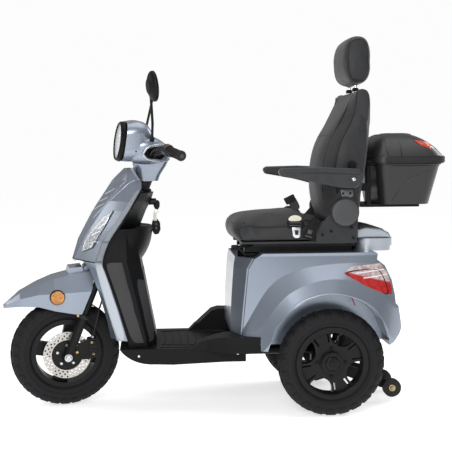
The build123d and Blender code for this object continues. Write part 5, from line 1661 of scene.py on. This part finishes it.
@dataclass
class SeatHardware:
    """Recliner covers, side plate screws, belts, armrests, knobs and levers."""

    pivot: Point = (0.437, 0.775)
    arm_pivot: Point = (0.466, 0.901)
    cover_face: float = 0.2568
    plate_face: float = 0.2385
    bracket_inner: float = 0.2214
    bracket_face: float = 0.2236
    arm_inner: float = 0.2275
    arm_outer: float = 0.2745
    buckle_inner: float = 0.2405
    buckle_face: float = 0.2525

    def build(self) -> None:
        """Build and dress the seat's hardware."""
        for side, name in SIDES:
            self.recliner(side, name)
            self.armrest(side, name)
            self.buckle(side, name)
        self.belt()
        self.levers()
        log.info("seat hardware built")

    @staticmethod
    def plate(
        name: str, outline: list[Point], side: int, inner: float, outer: float, bevel: float
    ) -> bpy.types.Object:
        """A prism of an outline between two distances to one side."""
        return Bench.prism(name, mm(outline), *sorted((side * inner, side * outer)), "Y", bevel)

    @staticmethod
    def strap(name: str, edges: Iterable[tuple[Point, Point]]) -> None:
        """A short stretch of belt web between two edges."""
        rows = [mm(edge) for edge in edges]
        fit(Bench.sheet(name, rows, 0.003, 1), Look.WEB, "seat")

    def recliner(self, side: int, name: str) -> None:
        """Domed cover over the recliner, the side plate's screws, and the arm's bracket."""
        out = (0, side, 0)
        foot = (self.pivot[0], side * self.cover_face, self.pivot[1])
        dome = mm([(-2, 0), (-2, 50.5), (0.5, 50.5), (2.2, 49), (3, 45), (3.4, 30), (3.6, 0)])
        fit(Bench.spin(f"recliner_cover_{name}", dome, foot, out, 64), Look.GREY_PLASTIC, "seat")
        heads = []
        for i, (x, z) in enumerate(((386, 703), (465, 716), (352, 690), (472, 676))):
            spot = (x / 1000, side * self.plate_face, z / 1000)
            heads.append(Bench.screw(f"plate_screw_{name}_{i}", spot, out, 0.005, 0.003, 20))
        fit(Bench.join(*heads), Look.BLACK_PLASTIC, "seat")
        outline = [(424, 862), (472, 862), (474, 836), (462, 829), (430, 830)]
        faces = self.bracket_inner, self.bracket_face
        bracket = self.plate(f"arm_bracket_{name}", outline, side, *faces, 0.0008)
        bolts = []
        for i, x in enumerate((434, 462)):
            spot = (x / 1000, side * self.bracket_face, 846 / 1000)
            bolts.append(Bench.screw(f"arm_bracket_bolt_{name}_{i}", spot, out, 0.0050, 0.002))
        fit(bracket, Look.GUN_METAL, "backrest")
        fit(Bench.join(*bolts), Look.BLACK_PLASTIC, "backrest")

    def armrest(self, side: int, name: str) -> None:
        """Padded arm on a moulded base, with its pivot screw and the seam along its side."""
        body = f"{name}_armrest"
        out = (0, side, 0)
        low, high = sorted((side * self.arm_inner, side * self.arm_outer))
        arm = [(180, 934), (196, 944), (330, 947), (488, 940), (497, 925), (496, 900), (488, 876), (468, 866)]
        arm += [(432, 866), (380, 874), (300, 894), (232, 906), (190, 913)]
        pad = Bench.prism(f"arm_pad_{name}", mm(arm), low, high, "Y")
        Bench.soften(pad, 0.0085, 4)
        Bench.modify(pad, "SUBSURF", levels=1, render_levels=1, subdivision_type="SIMPLE")
        Bench.smooth(pad, 70)
        fit(pad, Look.ARM_PAD, body, f"armrest_{name}")
        under = [(262, 905), (330, 888), (384, 872), (432, 865), (466, 865), (470, 872), (436, 874)]
        under += [(380, 882), (300, 902), (262, 912)]
        base = Bench.prism(f"arm_base_{name}", mm(under), low + 0.004, high - 0.004, "Y", 0.002)
        fit(base, Look.BLACK_PLASTIC, body)
        foot = (self.arm_pivot[0], side * 0.2735, self.arm_pivot[1])
        disc = mm([(-2, 0), (-2, 11), (1.5, 11), (2.4, 9.5), (2.4, 0)])
        fit(Bench.spin(f"arm_rosette_{name}", disc, foot, out, 32), Look.ARM_PAD, body)
        spot = Vector(foot) + Vector((0, side * 0.0022, 0))
        fit(Bench.screw(f"arm_screw_{name}", spot, out, 0.0066, 0.002, 20), Look.STEEL, body)
        seam = beside(((266, 925), (330, 926), (420, 922), (492, 918)), side * 0.2755 * 1000)
        fit(Bench.pipe(f"arm_seam_{name}", Bench.onto(pad, seam, 0.0), 0.0014), Look.SEAM, body)

    def buckle(self, side: int, name: str) -> None:
        """Belt buckle leaning beside the seat, and the right side's short strap."""
        stalk = [(273, 684), (312, 672), (349, 742), (321, 762)]
        stalk = self.plate(f"buckle_{name}", stalk, side, self.buckle_inner, self.buckle_face, 0.0035)
        mouth = [(282, 687), (308, 679), (310, 683), (284, 691)]
        mouth = self.plate(f"buckle_slot_{name}", mouth, side, self.buckle_face - 0.001, 0.2535, 0.0006)
        key = [(290, 698), (306, 693), (313, 706), (297, 713)]
        key = self.plate(f"buckle_button_{name}", key, side, self.buckle_face - 0.001, 0.2540, 0.001)
        fit(stalk, Look.BLACK_PLASTIC, "seat", "seat_belt")
        fit(Bench.join(mouth, key), Look.GREY_PLASTIC, "seat")
        spot = (0.331, side * self.buckle_face, 0.742)
        fit(Bench.screw(f"buckle_bolt_{name}", spot, (0, side, 0), 0.0062, 0.0025), Look.FRAME, "seat")
        if side > 0:
            spots = ((262, 752), (286, 756), (322, 742), (338, 724))
            y = side * 229
            self.strap("belt_strap_right", [((x, y, z), (x + 8, y, z + 22)) for x, z in spots])

    def belt(self) -> None:
        """Folded webbing, adjuster, tongue and label on the left side."""
        rows = [
            mm([(x, -226, z), (x + dx, -226 - bulge, z + dz)])
            for x, z, dx, dz, bulge in (
                (212, 834, 28, 12, 0), (222, 815, 30, 14, 2), (230, 797, 32, 14, 3), (240, 778, 32, 10, 3),
            )
        ]
        fit(Bench.sheet("belt_web_end", rows, 0.004, 1), Look.WEB, "seat")
        outline = mm([(204, 828), (242, 846), (254, 822), (217, 804)])
        head = Bench.prism("belt_head", outline, -0.233, -0.223, "Y", 0.003)
        fit(head, Look.BLACK_PLASTIC, "seat")
        label = [[(222, -230, 757), (221, -230, 742)], [(247, -231, 770), (246, -232, 742)]]
        label += [[(278, -230, 757), (270, -231, 742)]]
        fit(Bench.sheet("belt_label", [mm(row) for row in label], 0.0016, 1), Look.CREAM, "seat")
        outline = mm([(216, 743), (282, 741), (279, 718), (219, 720)])
        adjuster = Bench.prism("belt_adjuster", outline, -0.236, -0.226, "Y", 0.003)
        fit(adjuster, Look.BLACK_PLASTIC, "seat")
        bars = []
        for i, z in enumerate((739, 728)):
            outline = mm([(226, z), (272, z - 1), (272, z - 4), (226, z - 3)])
            bars.append(Bench.prism(f"adjuster_bar_{i}", outline, -0.2375, -0.2350, "Y", 0.0008))
        fit(Bench.join(*bars), Look.GREY_PLASTIC, "seat")
        outline = mm([(236, 719), (270, 719), (268, 686), (262, 678), (248, 678), (240, 686)])
        tongue = Bench.prism("belt_tongue", outline, -0.2325, -0.2290, "Y", 0.0009)
        outline = mm([(246, 708), (262, 708), (260, 690), (249, 690)])
        window = Bench.prism("tongue_window", outline, -0.240, -0.220, "Y")
        fit(Bench.smooth(Bench.cut(tongue, window), 30), Look.STEEL, "seat")
        upper = ((268, 231, 748), (290, 234, 752), (318, 238, 742), (334, 238, 730))
        self.strap("belt_strap_upper", [((x, -y, z), (x + 6, -y, z + 20)) for x, y, z in upper])
        lower = ((724, 232, 270), (700, 236, 268), (684, 262, 300), (672, 300, 330))
        self.strap("belt_strap", [((x0, -229, z), (x1, -229, z)) for z, x0, x1 in lower])

    def levers(self) -> None:
        """Round knobs behind the armrests, the slide lever and the rails' bolts."""
        knob = mm([(-4, 0), (-4, 8), (4, 8), (4, 15), (5.5, 17), (9, 17), (10.5, 15.5), (10.5, 0)])
        for side, name in SIDES:
            foot = (0.470, side * 0.2135, 0.953)
            piece = Bench.spin(f"back_knob_{name}", knob, foot, (0, side, 0), 36)
            fit(piece, Look.BLACK_PLASTIC, "backrest")
        line = mm([(90, -176, 648), (70, -196, 646), (40, -206, 645), (22, -206, 644)])
        fit(Bench.pipe("slide_lever", line, 0.0048), Look.FRAME, "seat")
        grip = mm([(-14, 0), (-14, 7), (-10, 9), (10, 9), (14, 7), (14, 0)])
        grip = Bench.spin("slide_knob", grip, (0.020, -0.206, 0.644), (1, 0, 0.02), 24)
        fit(grip, Look.BLACK_PLASTIC, "seat")
        bolts = []
        for side in (-1, 1):
            for x in (0.075, 0.300, 0.470):
                name = f"rail_bolt_{side}_{x}".replace(".", "_")
                bolts.append(Bench.screw(name, (x, side * 0.170, 0.650), (0, side, 0), 0.005, 0.003))
        fit(Bench.join(*bolts), Look.FRAME, "seat")


# ---------------------------------------------------------------- top box
@dataclass
class TopBox:
    """Seams, rim bands, reflectors, swept ribs, top pad and latch of the top box."""

    nodes: dict[str, bpy.types.Object]

    def build(self) -> None:
        """Build and dress the top box."""
        lid, tray = self.nodes["box_lid"], self.nodes["top_box"]
        self.split(lid)
        self.bands(lid, tray)
        self.reflectors(lid)
        self.sweeps(tray)
        self.handle(lid)
        self.latch()
        log.info("top box dressed")

    def split(self, lid: bpy.types.Object) -> None:
        """Seam and raised crease over the lid, from side to side."""
        arches = (
            ("lid_seam", 667, 240, 130, -0.0004, 0.0018, Look.SEAM),
            ("lid_front_crease", 612, 220, 120, -0.0008, 0.0030, Look.BOX_PLASTIC),
        )
        for name, x, half, rise, lift, radius, look in arches:
            line = []
            for i in range(13):
                angle = math.pi * i / 12
                line.append(Vector((x, -half * math.cos(angle), 966 + rise * math.sin(angle))) / 1000)
            fit(Bench.pipe(name, Bench.onto(lid, line, lift), radius), look, "lid")

    @staticmethod
    def girdle(target: bpy.types.Object, height: float, lift: float, count: int = 48) -> list[Vector]:
        """A loop of points round a piece at one height."""
        centre = Vector((0.715, 0.0, height))
        loop = []
        for i in range(count):
            angle = math.tau * i / count
            way = Vector((math.cos(angle), math.sin(angle), 0))
            loop += Bench.cast(target, [centre + way * 0.2], lift, -way)
        return loop

    def bands(self, lid: bpy.types.Object, tray: bpy.types.Object) -> None:
        """Light line over the lid's band, and dark joint lines above and below it."""
        lines = (
            ("lid_band_line", lid, 0.9850, 0.0012, Look.BOX_PLASTIC, "lid", 0.0026),
            ("lid_joint", lid, 0.9660, -0.0004, Look.SEAM, "lid", 0.0022),
            ("tray_joint", tray, 0.9560, 0.0, Look.SEAM, "backrest", 0.0028),
            ("tray_bead", tray, 0.9480, -0.0010, Look.BOX_PLASTIC, "backrest", 0.0030),
        )
        for name, target, height, lift, look, body, radius in lines:
            fit(Bench.pipe(name, self.girdle(target, height, lift), radius, True), look, body)

    def reflectors(self, lid: bpy.types.Object) -> None:
        """Red reflectors with amber lower edges on the lid's rear corners."""
        upper = [(728, 1047), (760, 1046), (800, 1031), (832, 1012)]
        lower = [(729, 1045), (742, 1031), (776, 1014), (831, 1009)]
        for look, lift, low, high in ((Look.RED, 0.0018, 0.0, 1.0), (Look.AMBER, 0.0030, 0.34, 0.5)):
            rows = []
            for share in (0.0, 0.2, 0.4, 0.6, 0.8, 1.0):
                top, base = self.along(upper, share), self.along(lower, share)
                row = []
                for part in (low, (low + high) / 2, high):
                    x = base[0] + (top[0] - base[0]) * part
                    z = base[1] + (top[1] - base[1]) * part
                    row.append(Vector((x, -150, z)) / 1000)
                rows.append(Bench.cast(lid, row, lift))
            name = look.name.lower()
            fit_pair(Bench.sheet(f"lid_reflector_{name}_left", rows, 0.0024, 2), look, "lid")

    @staticmethod
    def along(line: Sequence[Point], share: float) -> tuple[float, float]:
        """The point at a share of a line's corners."""
        at = share * (len(line) - 1)
        index = min(int(at), len(line) - 2)
        part = at - index
        first, last = line[index], line[index + 1]
        return (first[0] + (last[0] - first[0]) * part, first[1] + (last[1] - first[1]) * part)

    def sweeps(self, tray: bpy.types.Object) -> None:
        """Swept ribs pressed in the tray's sides."""
        line = beside(((640, 812), (652, 836), (676, 868), (706, 896), (742, 917), (775, 930)), -205)
        left = Bench.pipe("tray_sweep_left", Bench.cast(tray, line, -0.0010), 0.0028)
        fit_pair(left, Look.BOX_PLASTIC, "backrest")

    def handle(self, lid: bpy.types.Object) -> None:
        """Dark pad along the top of the lid."""
        rows = []
        for x in (640, 668, 696, 724, 745):
            row = [Rear.drop(lid, Vector((x, y, 1075)) / 1000) for y in (-60, -30, 0, 30, 60)]
            rows.append([spot + Vector((0, 0, 0.0015)) for spot in row])
        fit(Bench.sheet("lid_pad", rows, 0.003, 1), Look.SEAM, "lid")

    def latch(self) -> None:
        """Lock and clasp at the middle of the box's rear."""
        outline = mm([(-34, 950), (34, 950), (30, 996), (-30, 996)])
        clasp = Bench.prism("lid_latch", outline, 0.862, 0.8745, "X", 0.004)
        fit(clasp, Look.BLACK_PLASTIC, "lid")
        barrel = mm([(-4, 0), (-4, 9), (2, 9), (3, 8), (3, 3), (1, 2.5), (1, 0)])
        lock = Bench.spin("latch_lock", barrel, (0.8735, 0, 0.978), (1, 0, 0), 28)
        fit(lock, Look.CHROME, "lid")


# ---------------------------------------------------------------- studio
@dataclass
class Studio:
    """Pale floor, soft light and the camera."""

    position: tuple[float, float, float] = (-0.295, -3.797, 1.002)
    yaw: float = 4.485
    pitch: float = 4.392
    roll: float = -0.372
    focal_length: float = 75.57
    floor_colour: Colour = (0.93, 0.93, 0.93)
    sky_light: float = 0.60
    horizon_light: float = 0.14
    floor_glow: float = 0.56
    backdrop_light: float = 0.98

    def build(self) -> None:
        """Make the camera, the floor and the lights."""
        self.camera()
        self.floor()
        self.lights()

    def camera(self) -> None:
        """Stand the camera at the viewing angle."""
        data = bpy.data.cameras.new("camera")
        data.lens = self.focal_length
        data.sensor_width = 36.0
        data.clip_end = 100.0
        camera = bpy.data.objects.new("camera", data)
        bpy.context.collection.objects.link(camera)
        heading = Matrix.Rotation(math.radians(-self.yaw), 4, "Z")
        tilt = Matrix.Rotation(math.radians(90 - self.pitch), 4, "X")
        roll = Matrix.Rotation(math.radians(self.roll), 4, "Z")
        camera.matrix_world = Matrix.Translation(self.position) @ heading @ tilt @ roll
        bpy.context.scene.camera = camera

    def floor(self) -> None:
        """Lay a plain pale floor."""
        bpy.ops.mesh.primitive_plane_add(size=60.0, location=(0, 0, 0))
        floor = bpy.context.object
        floor.name = "floor"
        tree = Tree("pale_floor")
        tree.set(Base_Color=(*self.floor_colour, 1), Roughness=0.9)
        tree.set(Emission_Color=(1, 1, 1, 1), Emission_Strength=self.floor_glow)
        floor.data.materials.append(tree.material)

    def lights(self) -> None:
        """Hang soft lights round the vehicle, light the sky brighter from the horizon up, and show the camera
        a plain bright backdrop.
        """
        world = bpy.data.worlds.new("studio")
        bpy.context.scene.world = world
        world.use_nodes = True
        tree = world.node_tree
        sky = tree.nodes["Background"]
        height = tree.nodes.new("ShaderNodeSeparateXYZ")
        tree.links.new(tree.nodes.new("ShaderNodeTexCoord").outputs["Generated"], height.inputs[0])
        rise = tree.nodes.new("ShaderNodeMapRange")
        rise.inputs["From Min"].default_value = -0.1
        rise.inputs["To Min"].default_value = self.horizon_light
        rise.inputs["To Max"].default_value = self.sky_light
        tree.links.new(height.outputs["Z"], rise.inputs["Value"])
        tree.links.new(rise.outputs[0], sky.inputs[1])
        backdrop = tree.nodes.new("ShaderNodeBackground")
        backdrop.inputs[1].default_value = self.backdrop_light
        for node in (sky, backdrop):
            node.inputs[0].default_value = (1, 1, 1, 1)
        choice = tree.nodes.new("ShaderNodeMixShader")
        path = tree.nodes.new("ShaderNodeLightPath")
        tree.links.new(path.outputs["Is Camera Ray"], choice.inputs[0])
        tree.links.new(sky.outputs[0], choice.inputs[1])
        tree.links.new(backdrop.outputs[0], choice.inputs[2])
        tree.links.new(choice.outputs[0], tree.nodes["World Output"].inputs[0])
        for name, place, aim, size, power in (
            ("key_light", (-0.9, -4.2, 2.3), (0.1, 0, 0.6), 1.8, 105.0),
            ("top_light", (0.4, -0.2, 4.0), (0, 0, 0.3), 3.0, 40.0),
            ("rear_light", (3.2, 1.6, 2.4), (0, 0, 0.6), 1.6, 40.0),
            ("front_light", (-4.0, 1.2, 2.0), (0, 0, 0.6), 1.6, 18.0),
        ):
            data = bpy.data.lights.new(name, "AREA")
            data.size = size
            data.energy = power
            lamp = bpy.data.objects.new(name, data)
            bpy.context.collection.objects.link(lamp)
            lamp.location = place
            lamp.rotation_euler = (Vector(aim) - Vector(place)).to_track_quat("-Z", "Y").to_euler()
        bpy.context.scene.view_settings.view_transform = "Standard"


@dataclass
class PlainNodes:
    """Solids whose shape is right, and the finish each one gets."""

    nodes: dict[str, object]
    looks: dict[Look, tuple[str, ...]] = field(
        default_factory=lambda: {
            Look.BODY: ("leg_shield", "front_fender", "headset_cowl", "rear_body", "pedestal_panel"),
            Look.TRIM: ("rear_deck",),
            Look.BLACK_PLASTIC: (
                "floorboard", "mirrors", "battery_pack", "headlamp_bezel", "knee_panel",
            ),
            Look.BOX_PLASTIC: ("top_box", "box_lid"),
            Look.FRAME: (
                "main_frame", "front_fork", "rear_axle", "seat_rails", "box_rack", "handlebar",
                "brake_calliper",
            ),
            Look.PLATE: ("seat_frame", "back_brackets"),
            Look.RUBBER: ("handlebar_grips", "steering_bellows", "brake_hose", "caster_wheels"),
            Look.ALLOY: ("front_rim", "rear_rim_left", "rear_rim_right"),
            Look.TAIL: ("tail_lamps",),
            Look.CLEAR: ("headlamp_lens",),
            Look.MARKER: ("front_marker_lamps",),
            Look.AMBER: ("fender_lamps",),
        }
    )

    def dress(self) -> None:
        """Give each solid its finish."""
        for look, names in self.looks.items():
            for name in names:
                look.paint(self.nodes[name])
        log.info("plain solids dressed")


def main() -> None:
    """Build the studio and dress the vehicle."""
    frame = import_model()
    Studio().build()
    nodes = frame["nodes"]
    PlainNodes(nodes).dress()
    Wheels().build()
    Fork(nodes).build()
    Headset(nodes).build()
    Shield(nodes).build()
    Keys().build()
    Floor(nodes).build()
    Rear(nodes).build()
    Upholstery(nodes).build()
    SeatHardware().build()
    TopBox(nodes).build()


if __name__ == "__main__":
    main()
